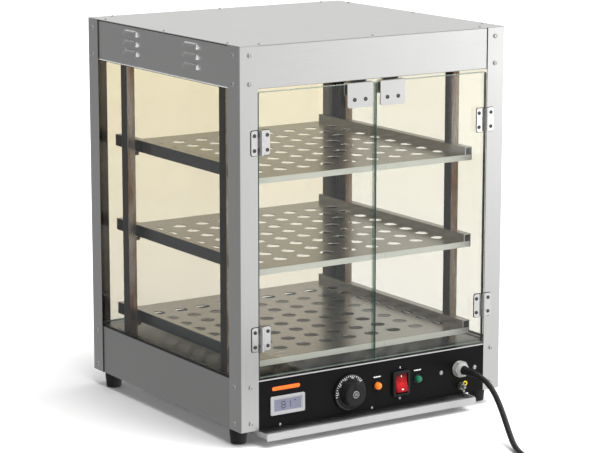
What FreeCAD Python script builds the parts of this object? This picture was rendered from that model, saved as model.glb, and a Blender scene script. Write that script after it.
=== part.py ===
import FreeCAD, Part
import Sketcher
import math
import os
import re

from FreeCAD import Placement, Rotation, Vector

# Countertop hot food display case.  Millimetres, +Z up, front towards -Y, origin on the table
# surface at the middle of the case.

DIMENSIONS = [
    ("case_width", 380, "outer width over the corner posts"),
    ("case_depth", 362, "outer depth over the corner posts"),
    ("case_height", 475, "table to top cover"),
    ("foot_height", 20, "rubber foot height"),
    ("post_gauge", 1.2, "sheet thickness of the corner posts"),
    ("sheet_gauge", 1, "sheet thickness of the panels"),
    ("post_flange", 25, "width of a corner post's flange"),
    ("header_height", 51, "height of the header panels"),
    ("base_height", 61, "height of the base panels"),
    ("panel_flange", 12, "inward flange of header and base panels"),
    ("lip_flange", 10, "inward flange along the bottom of a header"),
    ("glass_gauge", 4, "thickness of the fixed glass"),
    ("door_gauge", 5, "thickness of the door glass"),
    ("door_seam", 1.5, "gap between the two doors"),
    ("door_side_gap", 1, "gap between a door and its post"),
    ("door_recess", 0.3, "door glass set back from the post face"),
    ("door_low", 82.5, "bottom edge of the doors"),
    ("door_high", 420.6, "top edge of the doors"),
    ("door_corner", 2, "corner radius of the door glass"),
    ("hinge_inset", 162, "hinge axis from the case's middle plane"),
    ("hinge_proud", 3, "hinge axis in front of the post face"),
    ("knuckle_radius", 2.7, "outside radius of the hinge knuckles"),
    ("pin_radius", 1.25, "hinge pin radius"),
    ("pin_play", 0.05, "running clearance round the hinge pin"),
    ("leaf_gauge", 1.2, "hinge leaf thickness"),
    ("leaf_height", 29, "hinge leaf height"),
    ("hinge_high", 362, "middle of the upper hinge"),
    ("hinge_low", 130, "middle of the lower hinge"),
    ("louvre_length", 37, "length of a louvre"),
    ("louvre_pitch", 12, "vertical pitch of the louvres"),
    ("louvre_offset", 72, "louvre group from the middle of the side"),
    ("louvre_radius", 4, "radius of a louvre's hood"),
    ("shelf_half", 150, "half width of a shelf's flat"),
    ("shelf_hook", 10, "width of the hooked side of a shelf"),
    ("shelf_rise", 9.5, "rise of a shelf's side above its flat"),
    ("shelf_drop", 5, "drop of the hooked side below the flat"),
    ("shelf_front", -158, "front edge of a shelf"),
    ("shelf_rear", 168, "rear edge of a shelf"),
    ("shelf_lip", 7, "height of a shelf's front lip"),
    ("upper_level", 316, "top face of the upper shelf"),
    ("middle_level", 207, "top face of the middle shelf"),
    ("lower_level", 97, "top face of the lower shelf"),
    ("hole_radius", 9, "radius of a shelf perforation"),
    ("hole_pitch_side", 33.4, "perforation pitch across"),
    ("hole_pitch_deep", 34, "perforation pitch front to back"),
    ("hole_first_side", -127.5, "leftmost column of perforations"),
    ("hole_first_deep", -117, "frontmost row of perforations"),
    ("rail_width", 12, "shelf rail, across"),
    ("rail_deep", 15, "shelf rail, front to back"),
    ("rail_inner", 165, "inner face of a shelf rail from the middle plane"),
    ("rail_wall", 1, "wall of a shelf rail"),
    ("peg_radius", 2.5, "radius of a shelf peg"),
    ("ceiling_level", 426, "underside of the ceiling panel"),
    ("deck_level", 80, "top face of the deck"),
    ("panel_top", 78.2, "top edge of the control panel"),
    ("panel_gauge", 1.5, "control panel thickness"),
    ("control_level", 49.5, "height of the controls"),
    ("knob_side", -36.5, "thermostat knob from the middle plane"),
    ("knob_level", 47.5, "thermostat knob height"),
    ("skirt_radius", 22.5, "radius of the knob's dial skirt"),
    ("cap_radius", 15.5, "radius of the knob's grip"),
    ("shaft_radius", 3, "thermostat shaft radius"),
    ("meter_side", -125, "thermometer from the middle plane"),
    ("meter_width", 48, "thermometer bezel width"),
    ("meter_height", 23, "thermometer bezel height"),
    ("amber_side", 4.5, "amber lamp from the middle plane"),
    ("green_side", 64.5, "green lamp from the middle plane"),
    ("lamp_radius", 5, "radius of a lamp's barrel"),
    ("switch_side", 38.5, "rocker switch from the middle plane"),
    ("switch_width", 26, "rocker switch bezel width"),
    ("switch_height", 32, "rocker switch bezel height"),
    ("gland_side", 128, "cable gland from the middle plane"),
    ("gland_level", 53, "cable gland height"),
    ("earth_level", 30.5, "earth terminal height"),
    ("foot_side", 176, "rubber foot from the middle plane"),
    ("foot_deep", 153, "rubber foot from the middle of the depth"),
    ("foot_radius", 11, "rubber foot radius at the top"),
    ("tray_width", 306, "crumb tray width"),
    ("tray_side", -9.5, "middle of the crumb tray"),
    ("tray_front", -195, "front face of the crumb tray"),
    ("tray_rear", 120, "rear face of the crumb tray"),
    ("tray_low", 11.5, "underside of the crumb tray"),
    ("tray_high", 17.5, "rim of the crumb tray"),
    ("tray_gauge", 0.8, "crumb tray sheet thickness"),
    ("screw_side", 176, "post screws from the middle plane"),
    ("screw_deep", 168, "post screws from the middle of the depth"),
    ("screw_radius", 1.5, "post screw shank radius"),
    ("head_radius", 3, "post screw head radius"),
    ("cord_radius", 3.5, "mains lead radius"),
    ("coil_side", 8, "coil centre, across"),
    ("coil_deep", -466, "coil centre, front to back"),
    ("coil_inner", 27.5, "coil inside radius"),
    ("coil_outer", 49.5, "coil outside radius"),
    ("coil_height", 14.6, "coil height, two turns"),
]

SCREW_LEVELS = (463.5, 430.5, 73.5, 29.5)
HINGE_SCREW_RISE = 8.7

doc = FreeCAD.newDocument("HotFoodDisplayCase")
sizes = doc.addObject("Spreadsheet::Sheet", "Sizes")
for row, (alias, value, note) in enumerate(DIMENSIONS, start=1):
    sizes.set(f"A{row}", note)
    sizes.set(f"B{row}", str(value))
    sizes.setAlias(f"B{row}", alias)
doc.recompute()

sub_parts = []


def bound(text):
    """The expression with each dimension's name prefixed by its sheet."""
    return re.sub(r"[a-z]\w*", lambda word: "Sizes." + word.group(), str(text))


def value_of(text):
    return float(sizes.evalExpression(bound(text)))


def bind(item, prop, text):
    item.setExpression(prop, bound(text))


def publish(item, label):
    """Marks a finished object as a sub-part of the case."""
    item.Label = label
    sub_parts.append(item)
    return item


def move_to(item, place, rotation=None):
    if rotation:
        item.Placement = Placement(Vector(0, 0, 0), rotation)
    for axis, text in zip("xyz", place):
        bind(item, f"Placement.Base.{axis}", text)


# Part primitives and booleans

def block(name, low, high):
    box = doc.addObject("Part::Box", name)
    for prop, near, far in zip(("Length", "Width", "Height"), low, high):
        bind(box, prop, f"({far}) - ({near})")
    move_to(box, low)
    return box


TOWARDS = {
    "x": Rotation(Vector(0, 1, 0), 90),
    "y": Rotation(Vector(1, 0, 0), -90),
    "z": Rotation(),
}


def rod(name, start, axis, radius, length):
    """A cylinder from its start point along +axis."""
    cylinder = doc.addObject("Part::Cylinder", name)
    bind(cylinder, "Radius", radius)
    bind(cylinder, "Height", length)
    move_to(cylinder, start, TOWARDS[axis])
    return cylinder


def cone(name, start, axis, radius_start, radius_end, length):
    taper = doc.addObject("Part::Cone", name)
    bind(taper, "Radius1", radius_start)
    bind(taper, "Radius2", radius_end)
    bind(taper, "Height", length)
    move_to(taper, start, TOWARDS[axis])
    return taper


def join(name, pieces):
    fusion = doc.addObject("Part::MultiFuse", name)
    fusion.Shapes = pieces
    return fusion


def gather(name, pieces):
    group = doc.addObject("Part::Compound", name)
    group.Links = pieces
    return group


def cut(name, base, tools):
    removal = doc.addObject("Part::Cut", name)
    removal.Base = base
    removal.Tool = tools[0] if len(tools) == 1 else gather(name + "_tools", tools)
    return removal


# PartDesign bodies

def new_body(name):
    return doc.addObject("PartDesign::Body", name)


def origin_plane(body, role):
    return next(feature for feature in body.Origin.OriginFeatures if feature.Role == role)


def new_sketch(body, name, role, offset):
    sketch = body.newObject("Sketcher::SketchObject", name)
    sketch.AttachmentSupport = [(origin_plane(body, role), "")]
    sketch.MapMode = "FlatFace"
    bind(sketch, "AttachmentOffset.Base.z", offset)
    return sketch


def pin_point(sketch, geometry, point, place):
    for direction, text in zip(("DistanceX", "DistanceY"), place):
        index = sketch.addConstraint(
            Sketcher.Constraint(direction, -1, 1, geometry, point, value_of(text)))
        bind(sketch, f"Constraints[{index}]", text)


def draw_outline(sketch, corners):
    """A closed outline of straight lines, each corner bound to the sheet."""
    places = [Vector(value_of(x), value_of(y), 0) for x, y in corners]
    count = len(corners)
    for index in range(count):
        sketch.addGeometry(Part.LineSegment(places[index], places[(index + 1) % count]), False)
    for index in range(count):
        sketch.addConstraint(Sketcher.Constraint("Coincident", index, 2, (index + 1) % count, 1))
    for index, corner in enumerate(corners):
        pin_point(sketch, index, 1, corner)


def draw_circles(sketch, centres, radius):
    for index, centre in enumerate(centres):
        place = Vector(value_of(centre[0]), value_of(centre[1]), 0)
        sketch.addGeometry(Part.Circle(place, Vector(0, 0, 1), value_of(radius)), False)
        pin_point(sketch, index, 3, centre)
        number = sketch.addConstraint(Sketcher.Constraint("Radius", index, value_of(radius)))
        bind(sketch, f"Constraints[{number}]", radius)


def slab(body, name, role, corners, start, end):
    """An outline padded from start to end along the plane's row axis."""
    offset = f"-({end})" if role == "XZ_Plane" else start
    sketch = new_sketch(body, name + "_outline", role, offset)
    draw_outline(sketch, corners)
    pad = body.newObject("PartDesign::Pad", name + "_pad")
    pad.Profile = sketch
    bind(pad, "Length", f"({end}) - ({start})")
    return pad


def disc(body, name, role, centre, radius, start, end):
    offset = f"-({end})" if role == "XZ_Plane" else start
    sketch = new_sketch(body, name + "_circle", role, offset)
    draw_circles(sketch, [centre], radius)
    pad = body.newObject("PartDesign::Pad", name + "_pad")
    pad.Profile = sketch
    bind(pad, "Length", f"({end}) - ({start})")
    return pad


def through_cut(body, name, sketch):
    before = body.Shape.Volume if body.Shape else 0
    pocket = body.newObject("PartDesign::Pocket", name)
    pocket.Profile = sketch
    pocket.Type = "ThroughAll"
    pocket.Midplane = True
    doc.recompute()
    if body.Shape.Volume >= before:
        raise RuntimeError(f"{name} removes nothing")
    return pocket


def holes(body, name, role, centres, radius):
    doc.recompute()
    sketch = new_sketch(body, name + "_circles", role, "0")
    draw_circles(sketch, centres, radius)
    return through_cut(body, name, sketch)


def window(body, name, role, corners):
    doc.recompute()
    sketch = new_sketch(body, name + "_outline", role, "0")
    draw_outline(sketch, corners)
    return through_cut(body, name, sketch)


def rectangle(low, high):
    (left, bottom), (right, top) = low, high
    return [(left, bottom), (right, bottom), (right, top), (left, top)]


def centred(middle, width, height):
    (x, y) = middle
    return rectangle((f"({x}) - ({width}) / 2", f"({y}) - ({height}) / 2"),
                     (f"({x}) + ({width}) / 2", f"({y}) + ({height}) / 2"))


def spin_profile(body, name, corners):
    """An outline of (radius, height) corners turned about the body's own Z axis."""
    sketch = new_sketch(body, name + "_profile", "XZ_Plane", "0")
    draw_outline(sketch, corners)
    turned = body.newObject("PartDesign::Revolution", name + "_turn")
    turned.Profile = sketch
    turned.ReferenceAxis = (sketch, ["V_Axis"])
    turned.Angle = 360
    return turned


FACING_FRONT = Rotation(Vector(1, 0, 0), 90)
FACING_REAR = Rotation(Vector(1, 0, 0), -90)
FACING_LEFT = Rotation(Vector(0, 1, 0), -90)
FACING_RIGHT = Rotation(Vector(0, 1, 0), 90)
FACING_UP = Rotation()

half_width = "case_width / 2"
half_depth = "case_depth / 2"
cover_low = "case_height - sheet_gauge"
web_side = "case_width / 2 - post_gauge"
web_deep = "case_depth / 2 - post_gauge"
header_low = "case_height - header_height"
base_top = "foot_height + base_height"
side_names = (("left", -1), ("right", 1))
depth_names = (("front", -1), ("rear", 1))


# Screws: a domed head with a plain shank, drawn pointing out along +Z and copied into place

def screw_seed(name, head_radius, head_height, shank_radius, shank_length):
    body = new_body(name)
    spin_profile(body, name, [
        ("0", f"-({shank_length})"), (shank_radius, f"-({shank_length})"), (shank_radius, "0"),
        (head_radius, "0"), (f"{head_radius} * 0.92", f"{head_height} * 0.45"),
        (f"{head_radius} * 0.66", f"{head_height} * 0.82"), (f"{head_radius} * 0.3", head_height),
        ("0", head_height)])
    doc.recompute()
    return body


def copies(label, placings):
    """One node of separate solids: each placing is a seed body with a Placement."""
    group = doc.addObject("Part::Feature", label)
    group.Shape = Part.makeCompound(
        [seed.Shape.transformed(place.toMatrix()) for seed, place in placings])
    group.Placement = Placement()
    return publish(group, label)


post_screw = screw_seed("post_screw_seed", "head_radius", "1.8", "screw_radius", "5")
small_screw = screw_seed("small_screw_seed", "2.4", "1.3", "1.2", "4")
clip_screw = screw_seed("clip_screw_seed", "2.6", "1.2", "1.2", "1.4")


# Corner posts: L-section angles with their screws on both flanges

def corner_post(side, side_sign, deep, deep_sign):
    label = f"post_{deep}_{side}"
    body = new_body(label)
    x_out = f"{side_sign} * {half_width}"
    y_out = f"{deep_sign} * {half_depth}"
    x_in = f"{side_sign} * ({half_width} - post_gauge)"
    y_in = f"{deep_sign} * ({half_depth} - post_gauge)"
    x_end = f"{side_sign} * ({half_width} - post_flange)"
    y_end = f"{deep_sign} * ({half_depth} - post_flange)"
    corners = [(x_out, y_out), (x_end, y_out), (x_end, y_in), (x_in, y_in), (x_in, y_end), (x_out, y_end)]
    slab(body, label, "XY_Plane", corners, "foot_height", cover_low)
    levels = [str(level) for level in SCREW_LEVELS]
    across = [(f"{side_sign} * screw_side", level) for level in levels]
    along = [(f"{deep_sign} * screw_deep", level) for level in levels]
    holes(body, label + "_flange_holes", "XZ_Plane", across, "screw_radius")
    holes(body, label + "_side_holes", "YZ_Plane", along, "screw_radius")
    if deep == "front":
        hinge_spots = [(f"{side_sign} * (hinge_inset + 8.2)", f"{level} + {rise}")
                       for level in ("hinge_high", "hinge_low") for rise in (-HINGE_SCREW_RISE, HINGE_SCREW_RISE)]
        holes(body, label + "_hinge_holes", "XZ_Plane", hinge_spots, "1.2")
    publish(body, label)


for side, side_sign in side_names:
    for deep, deep_sign in depth_names:
        corner_post(side, side_sign, deep, deep_sign)


# Top cover with its twelve screws

COVER_SCREW_EDGE = 7
COVER_SCREW_SPREAD = 158
cover_screw_places = []
for across in (-COVER_SCREW_SPREAD, 0, COVER_SCREW_SPREAD):
    for deep_sign in (-1, 1):
        cover_screw_places.append((across, deep_sign * (value_of(half_depth) - COVER_SCREW_EDGE)))
for along in (-146, 0, 146):
    for side_sign in (-1, 1):
        cover_screw_places.append((side_sign * (value_of(half_width) - COVER_SCREW_EDGE), along))

top_cover = new_body("top_cover")
slab(top_cover, "top_cover", "XY_Plane",
     rectangle((f"-{half_width}", f"-{half_depth}"), (half_width, half_depth)), cover_low, "case_height")
holes(top_cover, "cover_screw_holes", "XY_Plane",
      [(str(x), str(y)) for x, y in cover_screw_places], "1.2")
publish(top_cover, "top_cover")


# Headers: channel panels under the cover; the side ones carry louvres

def flanged_front(label, deep_sign, low, high, reach_low):
    """A front or rear channel: web, top flange and, where it has one, a bottom flange."""
    body = new_body(label)
    web = f"{deep_sign} * ({web_deep})"
    inner = f"{deep_sign} * ({web_deep} - sheet_gauge)"
    top_reach = f"{deep_sign} * ({web_deep} - panel_flange)"
    low_reach = f"{deep_sign} * ({web_deep} - lip_flange)"
    profile = [(web, low), (web, high), (top_reach, high), (top_reach, f"{high} - sheet_gauge"),
               (inner, f"{high} - sheet_gauge")]
    if reach_low:
        profile += [(inner, f"{low} + sheet_gauge"), (low_reach, f"{low} + sheet_gauge"), (low_reach, low)]
    else:
        profile += [(inner, low)]
    reach = f"{web_side} - sheet_gauge - 0.2"
    slab(body, label, "YZ_Plane", profile, f"-({reach})", reach)
    return body


for deep, deep_sign in depth_names:
    header = flanged_front(f"header_{deep}", deep_sign, header_low, cover_low, True)
    header_levels = [str(level) for level in SCREW_LEVELS[:2]]
    spots = [(f"{sign} * screw_side", level) for sign in (-1, 1) for level in header_levels]
    holes(header, f"header_{deep}_holes", "XZ_Plane", spots, "screw_radius")
    flange_spots = [(str(x), str(y)) for x, y in cover_screw_places if abs(x) <= COVER_SCREW_SPREAD
                    and y * deep_sign > 0 and abs(y) > 150]
    header_sketch = new_sketch(header, f"header_{deep}_flange_circles", "XY_Plane", cover_low)
    draw_circles(header_sketch, flange_spots, "1.2")
    pocket = header.newObject("PartDesign::Pocket", f"header_{deep}_flange_holes")
    pocket.Profile = header_sketch
    bind(pocket, "Length", "sheet_gauge * 2")
    doc.recompute()
    publish(header, f"header_{deep}")


def side_header(side, side_sign):
    """A side channel whose flanges tuck under and over those of the front and rear channels."""
    label = f"header_{side}"
    body = new_body(label + "_channel")
    low = f"{header_low} + 0.2"
    high = f"{cover_low} - sheet_gauge"
    web = f"{side_sign} * ({web_side})"
    inner = f"{side_sign} * ({web_side} - sheet_gauge)"
    top_reach = f"{side_sign} * ({web_side} - panel_flange)"
    low_reach = f"{side_sign} * ({web_side} - lip_flange)"
    corners = [(web, low), (web, high), (top_reach, high), (top_reach, f"{high} - sheet_gauge"),
               (inner, f"{high} - sheet_gauge"), (inner, f"{low} + 2 * sheet_gauge"),
               (low_reach, f"{low} + 2 * sheet_gauge"), (low_reach, f"{low} + sheet_gauge"),
               (inner, f"{low} + sheet_gauge"), (inner, low)]
    reach = f"{web_deep} - sheet_gauge - 0.2"
    slab(body, label, "XZ_Plane", corners, f"-({reach})", reach)
    header_levels = [str(level) for level in SCREW_LEVELS[:2]]
    spots = [(f"{sign} * screw_deep", level) for sign in (-1, 1) for level in header_levels]
    holes(body, label + "_holes", "YZ_Plane", spots, "screw_radius")
    edge = value_of(half_width) - COVER_SCREW_EDGE
    sketch = new_sketch(body, label + "_flange_circles", "XY_Plane", high)
    draw_circles(sketch, [(str(side_sign * edge), str(along)) for along in (-146, 0, 146)], "1.2")
    pocket = body.newObject("PartDesign::Pocket", label + "_flange_holes")
    pocket.Profile = sketch
    bind(pocket, "Length", "sheet_gauge * 2")
    doc.recompute()
    hoods = []
    mouths = []
    for group_sign in (-1, 1):
        for step in (-1, 0, 1):
            tag = f"{label}_louvre_{group_sign + 1}{step + 1}"
            start = f"{group_sign} * louvre_offset - louvre_length / 2"
            level = f"450 + {step} * louvre_pitch"
            outside = rod(tag + "_skin", (web, start, level), "y", "louvre_radius", "louvre_length")
            inside = rod(tag + "_void", (web, f"{start} + 1", level), "y",
                         "louvre_radius - 0.8", "louvre_length - 2")
            below = block(tag + "_below",
                          (f"{web} - louvre_radius - 1", f"{start} - 1", f"{level} - louvre_radius - 1"),
                          (f"{web} + louvre_radius + 1", f"{start} + louvre_length + 1", level))
            behind_low = f"{web} - 9" if side_sign > 0 else f"{web} + sheet_gauge"
            behind_high = f"{web} - sheet_gauge" if side_sign > 0 else f"{web} + 9"
            behind = block(tag + "_behind", (behind_low, f"{start} - 1", f"{level} - 1"),
                           (behind_high, f"{start} + louvre_length + 1", f"{level} + louvre_radius + 1"))
            hoods.append(cut(tag, outside, [inside, below, behind]))
            mouth_low = f"{web} - 2" if side_sign > 0 else f"{web} - 0.5"
            mouth_high = f"{web} + 0.5" if side_sign > 0 else f"{web} + 2"
            mouths.append(block(tag + "_mouth", (mouth_low, f"{start} + 1", level),
                                (mouth_high, f"{start} + louvre_length - 1", f"{level} + louvre_radius - 0.8")))
    opened = cut(label + "_opened", body, mouths)
    publish(join(label + "_whole", [opened] + hoods), label)


for side, side_sign in side_names:
    side_header(side, side_sign)


# Base panels and bottom plate

for side, side_sign in side_names:
    label = f"base_panel_{side}"
    body = new_body(label)
    web = f"{side_sign} * ({web_side})"
    inner = f"{side_sign} * ({web_side} - sheet_gauge)"
    reach = f"{side_sign} * ({web_side} - lip_flange)"
    profile = [(web, "foot_height"), (web, base_top), (reach, base_top),
               (reach, f"{base_top} - sheet_gauge"), (inner, f"{base_top} - sheet_gauge"),
               (inner, "foot_height")]
    end = f"{web_deep} - sheet_gauge - 0.2"
    slab(body, label, "XZ_Plane", profile, f"-({end})", end)
    spots = [(f"{sign} * screw_deep", str(level)) for sign in (-1, 1) for level in SCREW_LEVELS[2:]]
    holes(body, label + "_holes", "YZ_Plane", spots, "screw_radius")
    publish(body, label)

base_rear = new_body("base_panel_rear")
rear_web = web_deep
rear_inner = f"{web_deep} - sheet_gauge"
slab(base_rear, "base_panel_rear", "YZ_Plane",
     [(rear_web, "foot_height"), (rear_web, base_top), (rear_inner, base_top), (rear_inner, "foot_height")],
     f"-({web_side} - sheet_gauge - 0.2)", f"{web_side} - sheet_gauge - 0.2")
holes(base_rear, "base_rear_holes", "XZ_Plane",
      [(f"{sign} * screw_side", str(level)) for sign in (-1, 1) for level in SCREW_LEVELS[2:]],
      "screw_radius")
publish(base_rear, "base_panel_rear")

plate_side = f"{web_side} - sheet_gauge - 0.2"
plate_deep = f"{web_deep} - sheet_gauge - 0.2"
guide_low = "tray_low - 1.1"
guide_gap = 0.8
bottom_plate = new_body("bottom_plate_sheet")
slab(bottom_plate, "bottom_plate", "XY_Plane",
     rectangle((f"-({plate_side})", f"-({plate_deep})"), (plate_side, plate_deep)),
     "foot_height", "foot_height + sheet_gauge")
holes(bottom_plate, "foot_stem_holes", "XY_Plane",
      [(f"{sx} * foot_side", f"{sy} * foot_deep") for sx in (-1, 1) for sy in (-1, 1)], "4")
guides = []
for side, side_sign in side_names:
    tray_edge = f"tray_side + {side_sign} * (tray_width / 2 + {guide_gap})"
    outer_edge = f"tray_side + {side_sign} * (tray_width / 2 + {guide_gap} + sheet_gauge)"
    toe_edge = f"tray_side + {side_sign} * (tray_width / 2 - 4)"
    web_low, web_high = (outer_edge, tray_edge) if side_sign < 0 else (tray_edge, outer_edge)
    toe_low, toe_high = (outer_edge, toe_edge) if side_sign < 0 else (toe_edge, outer_edge)
    guides.append(block(f"guide_web_{side}", (web_low, "-138", guide_low), (web_high, "138", "foot_height")))
    guides.append(block(f"guide_toe_{side}", (toe_low, "-138", guide_low), (toe_high, "138", f"{guide_low} + 0.8")))
publish(join("bottom_plate_whole", [bottom_plate] + guides), "bottom_plate")


# Deck over the base, with the bright sill under the doors

deck = new_body("deck_plate")
sill_front = f"-({web_deep})"
sill_back = f"-({web_deep} - sheet_gauge)"
deck_rear = f"{web_deep} - sheet_gauge - 0.2"
slab(deck, "deck_plate", "YZ_Plane",
     [(sill_front, "deck_level - 1.4"), (sill_front, "deck_level"), (deck_rear, "deck_level"),
      (deck_rear, "deck_level - sheet_gauge"), (sill_back, "deck_level - sheet_gauge"),
      (sill_back, "deck_level - 1.4")],
     f"-({web_side} - sheet_gauge - 0.2)", f"{web_side} - sheet_gauge - 0.2")
publish(deck, "deck_plate")

ceiling = new_body("ceiling_panel")
slab(ceiling, "ceiling_panel", "XY_Plane",
     rectangle(("-176", "-167.2"), ("176", "167.2")), "ceiling_level + 1.4", "ceiling_level + 2.4")
window(ceiling, "light_window", "XY_Plane", centred(("0", "-95"), "250", "34"))
publish(ceiling, "ceiling_panel")

ceiling_light = new_body("ceiling_light")
slab(ceiling_light, "ceiling_light", "YZ_Plane",
     [("-112", "ceiling_level - 6"), ("-109", "ceiling_level - 9"), ("-81", "ceiling_level - 9"),
      ("-78", "ceiling_level - 6"), ("-78", "ceiling_level + 12"), ("-112", "ceiling_level + 12")],
     "-124", "124")
publish(ceiling_light, "ceiling_light")


# Fixed glass on the sides and the rear

for side, side_sign in side_names:
    label = f"glass_{side}"
    body = new_body(label)
    outer = f"{side_sign} * ({half_width} - 2)"
    inner = f"{side_sign} * ({half_width} - 2 - glass_gauge)"
    near, far = (outer, inner) if side_sign < 0 else (inner, outer)
    slab(body, label, "YZ_Plane",
         rectangle(("-176", f"{base_top} + 0.2"), ("174.5", "ceiling_level - 2.4")), near, far)
    publish(body, label)

glass_rear = new_body("glass_rear")
slab(glass_rear, "glass_rear", "XZ_Plane",
     rectangle((f"-({half_width} - 7)", f"{base_top} + 0.2"), (f"{half_width} - 7", "ceiling_level - 2.4")),
     f"{half_depth} - 6", f"{half_depth} - 2")
publish(glass_rear, "glass_rear")


# Shelf rails: square tubes with a peg under each shelf.  The right pair stands further back.

RAIL_MIDDLES = {"left": (-121.5, 114.5), "right": (-101.5, 134.5)}


def shelf_rails(side, side_sign):
    pieces = []
    inner = f"{side_sign} * rail_inner"
    outer = f"{side_sign} * (rail_inner + rail_width)"
    near, far = (outer, inner) if side_sign < 0 else (inner, outer)
    for number, middle in enumerate(RAIL_MIDDLES[side]):
        tag = f"rail_{side}_{number}"
        front = f"{middle} - rail_deep / 2"
        rear = f"{middle} + rail_deep / 2"
        skin = block(tag + "_skin", (near, front, "deck_level"), (far, rear, "ceiling_level + 1.4"))
        void = block(tag + "_void",
                     (f"{near} + rail_wall", f"{front} + rail_wall", "deck_level - 1"),
                     (f"{far} - rail_wall", f"{rear} - rail_wall", "ceiling_level + 3"))
        pieces.append(cut(tag, skin, [void]))
        for level in ("upper_level", "middle_level", "lower_level"):
            peg_start = f"{side_sign} * rail_inner - 0.5" if side_sign < 0 else "rail_inner - 8"
            pieces.append(rod(f"{tag}_peg_{level}", (peg_start, str(middle), f"{level} - shelf_drop - peg_radius - 0.2"),
                              "x", "peg_radius", "8.5"))
    publish(join(f"shelf_rails_{side}_whole", pieces), f"shelf_rails_{side}")


for side, side_sign in side_names:
    shelf_rails(side, side_sign)


# Perforated shelves: sides folded up, out and down as hooks, and a lip along the front

def shelf(label, level):
    body = new_body(label)
    half = "shelf_half"
    hook = "(shelf_half + shelf_hook)"
    top = f"{level} + shelf_rise"
    foot = f"{level} - shelf_drop"
    gauge = "sheet_gauge"
    right = [(half, level), (half, top), (hook, top), (hook, foot), (f"{hook} - {gauge}", foot),
             (f"{hook} - {gauge}", f"{top} - {gauge}"), (f"{half} + {gauge}", f"{top} - {gauge}"),
             (f"{half} + {gauge}", f"{level} - {gauge}")]
    left = [(f"-({x})", z) for x, z in reversed(right)]
    slab(body, label, "XZ_Plane", right + left, "shelf_front", "shelf_rear")
    slab(body, label + "_lip", "XZ_Plane",
         rectangle((f"-{hook}", f"{level} - shelf_lip"), (hook, level)), "shelf_front", f"shelf_front + {gauge}")
    doc.recompute()
    seed = new_sketch(body, label + "_hole_circle", "XY_Plane", level)
    draw_circles(seed, [("hole_first_side", "hole_first_deep")], "hole_radius")
    pocket = body.newObject("PartDesign::Pocket", label + "_hole")
    pocket.Profile = seed
    bind(pocket, "Length", f"3 * {gauge}")
    grid = body.newObject("PartDesign::MultiTransform", label + "_grid")
    grid.Originals = [pocket]
    across = body.newObject("PartDesign::LinearPattern", label + "_across")
    across.Direction = (seed, ["H_Axis"])
    bind(across, "Length", "8 * hole_pitch_side")
    across.Occurrences = 9
    deep = body.newObject("PartDesign::LinearPattern", label + "_deep")
    deep.Direction = (seed, ["V_Axis"])
    bind(deep, "Length", "7 * hole_pitch_deep")
    deep.Occurrences = 8
    grid.Transformations = [across, deep]
    body.Tip = grid
    publish(body, label)


shelf("shelf_upper", "upper_level")
shelf("shelf_middle", "middle_level")
shelf("shelf_lower", "lower_level")


# Doors: frameless glass on two butt hinges each, with a steel catch clip at the top inner corner

glass_front = f"-({half_depth} - door_recess)"
glass_back = f"-({half_depth} - door_recess - door_gauge)"
hinge_levels = (("high", "hinge_high"), ("low", "hinge_low"))
KNUCKLE_SPLITS = {"case": ((-14.5, -5.0), (5.0, 14.5)), "door": ((-4.7, 4.7),)}
CLIP_LOW, CLIP_HIGH = 392, 421.8
CLIP_NEAR, CLIP_FAR = 5.5, 41.5
CLIP_GAUGE = 1.5
CLIP_SCREWS = (15.7, 31.3)


def door_glass(side, side_sign):
    label = f"door_glass_{side}"
    body = new_body(label)
    seam = f"{side_sign} * door_seam / 2"
    edge = f"{side_sign} * ({half_width} - post_flange - door_side_gap)"
    near, far = (edge, seam) if side_sign < 0 else (seam, edge)
    slab(body, label, "XZ_Plane", rectangle((near, "door_low"), (far, "door_high")), glass_front, glass_back)
    spots = [(f"{side_sign} * (hinge_inset - 9.5)", f"{level} + {rise}")
             for _, level in hinge_levels for rise in (-HINGE_SCREW_RISE, HINGE_SCREW_RISE)]
    holes(body, label + "_holes", "XZ_Plane", spots, "1.3")
    publish(body, label)


def knuckles(tag, side_sign, level, kind, bore):
    """The barrel sections of one hinge, bored for the pin."""
    axis = (f"{side_sign} * hinge_inset", f"-({half_depth} + hinge_proud)")
    parts = []
    for number, (low, high) in enumerate(KNUCKLE_SPLITS[kind]):
        parts.append(rod(f"{tag}_barrel_{number}", (axis[0], axis[1], f"{level} + {low}"), "z",
                         "knuckle_radius", f"{high - low}"))
    drill = rod(f"{tag}_bore", (axis[0], axis[1], f"{level} - leaf_height"), "z", bore, "2 * leaf_height")
    return parts, drill


def case_leaf(side, side_sign, name, level):
    """The leaf on the post: notched beside the door's knuckle."""
    tag = f"case_leaf_{side}_{name}"
    barrels, drill = knuckles(tag, side_sign, level, "case", "pin_radius")
    front = f"-({half_depth} + leaf_gauge)"
    back = f"-({half_depth})"
    outer = f"{side_sign} * (hinge_inset + 12.5)"
    axis = f"{side_sign} * hinge_inset"
    notch_edge = f"{side_sign} * (hinge_inset + knuckle_radius + 0.5)"
    near, far = (outer, axis) if side_sign < 0 else (axis, outer)
    plate = block(tag + "_plate", (near, front, f"{level} - leaf_height / 2"),
                  (far, back, f"{level} + leaf_height / 2"))
    notch_near, notch_far = (notch_edge, f"{axis} + 1") if side_sign < 0 else (f"{axis} - 1", notch_edge)
    notch = block(tag + "_notch", (notch_near, f"{front} - 1", f"{level} - 5"),
                  (notch_far, f"{back} + 1", f"{level} + 5"))
    screw_bores = [rod(f"{tag}_screw_{rise}".replace(".", "_").replace("-", "m"),
                       (f"{side_sign} * (hinge_inset + 8.2)", f"{front} - 1", f"{level} + {rise}"),
                       "y", "1.2", "4") for rise in (-HINGE_SCREW_RISE, HINGE_SCREW_RISE)]
    whole = join(tag + "_whole", [plate] + barrels)
    return cut(tag, whole, [drill, notch] + screw_bores)


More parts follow.
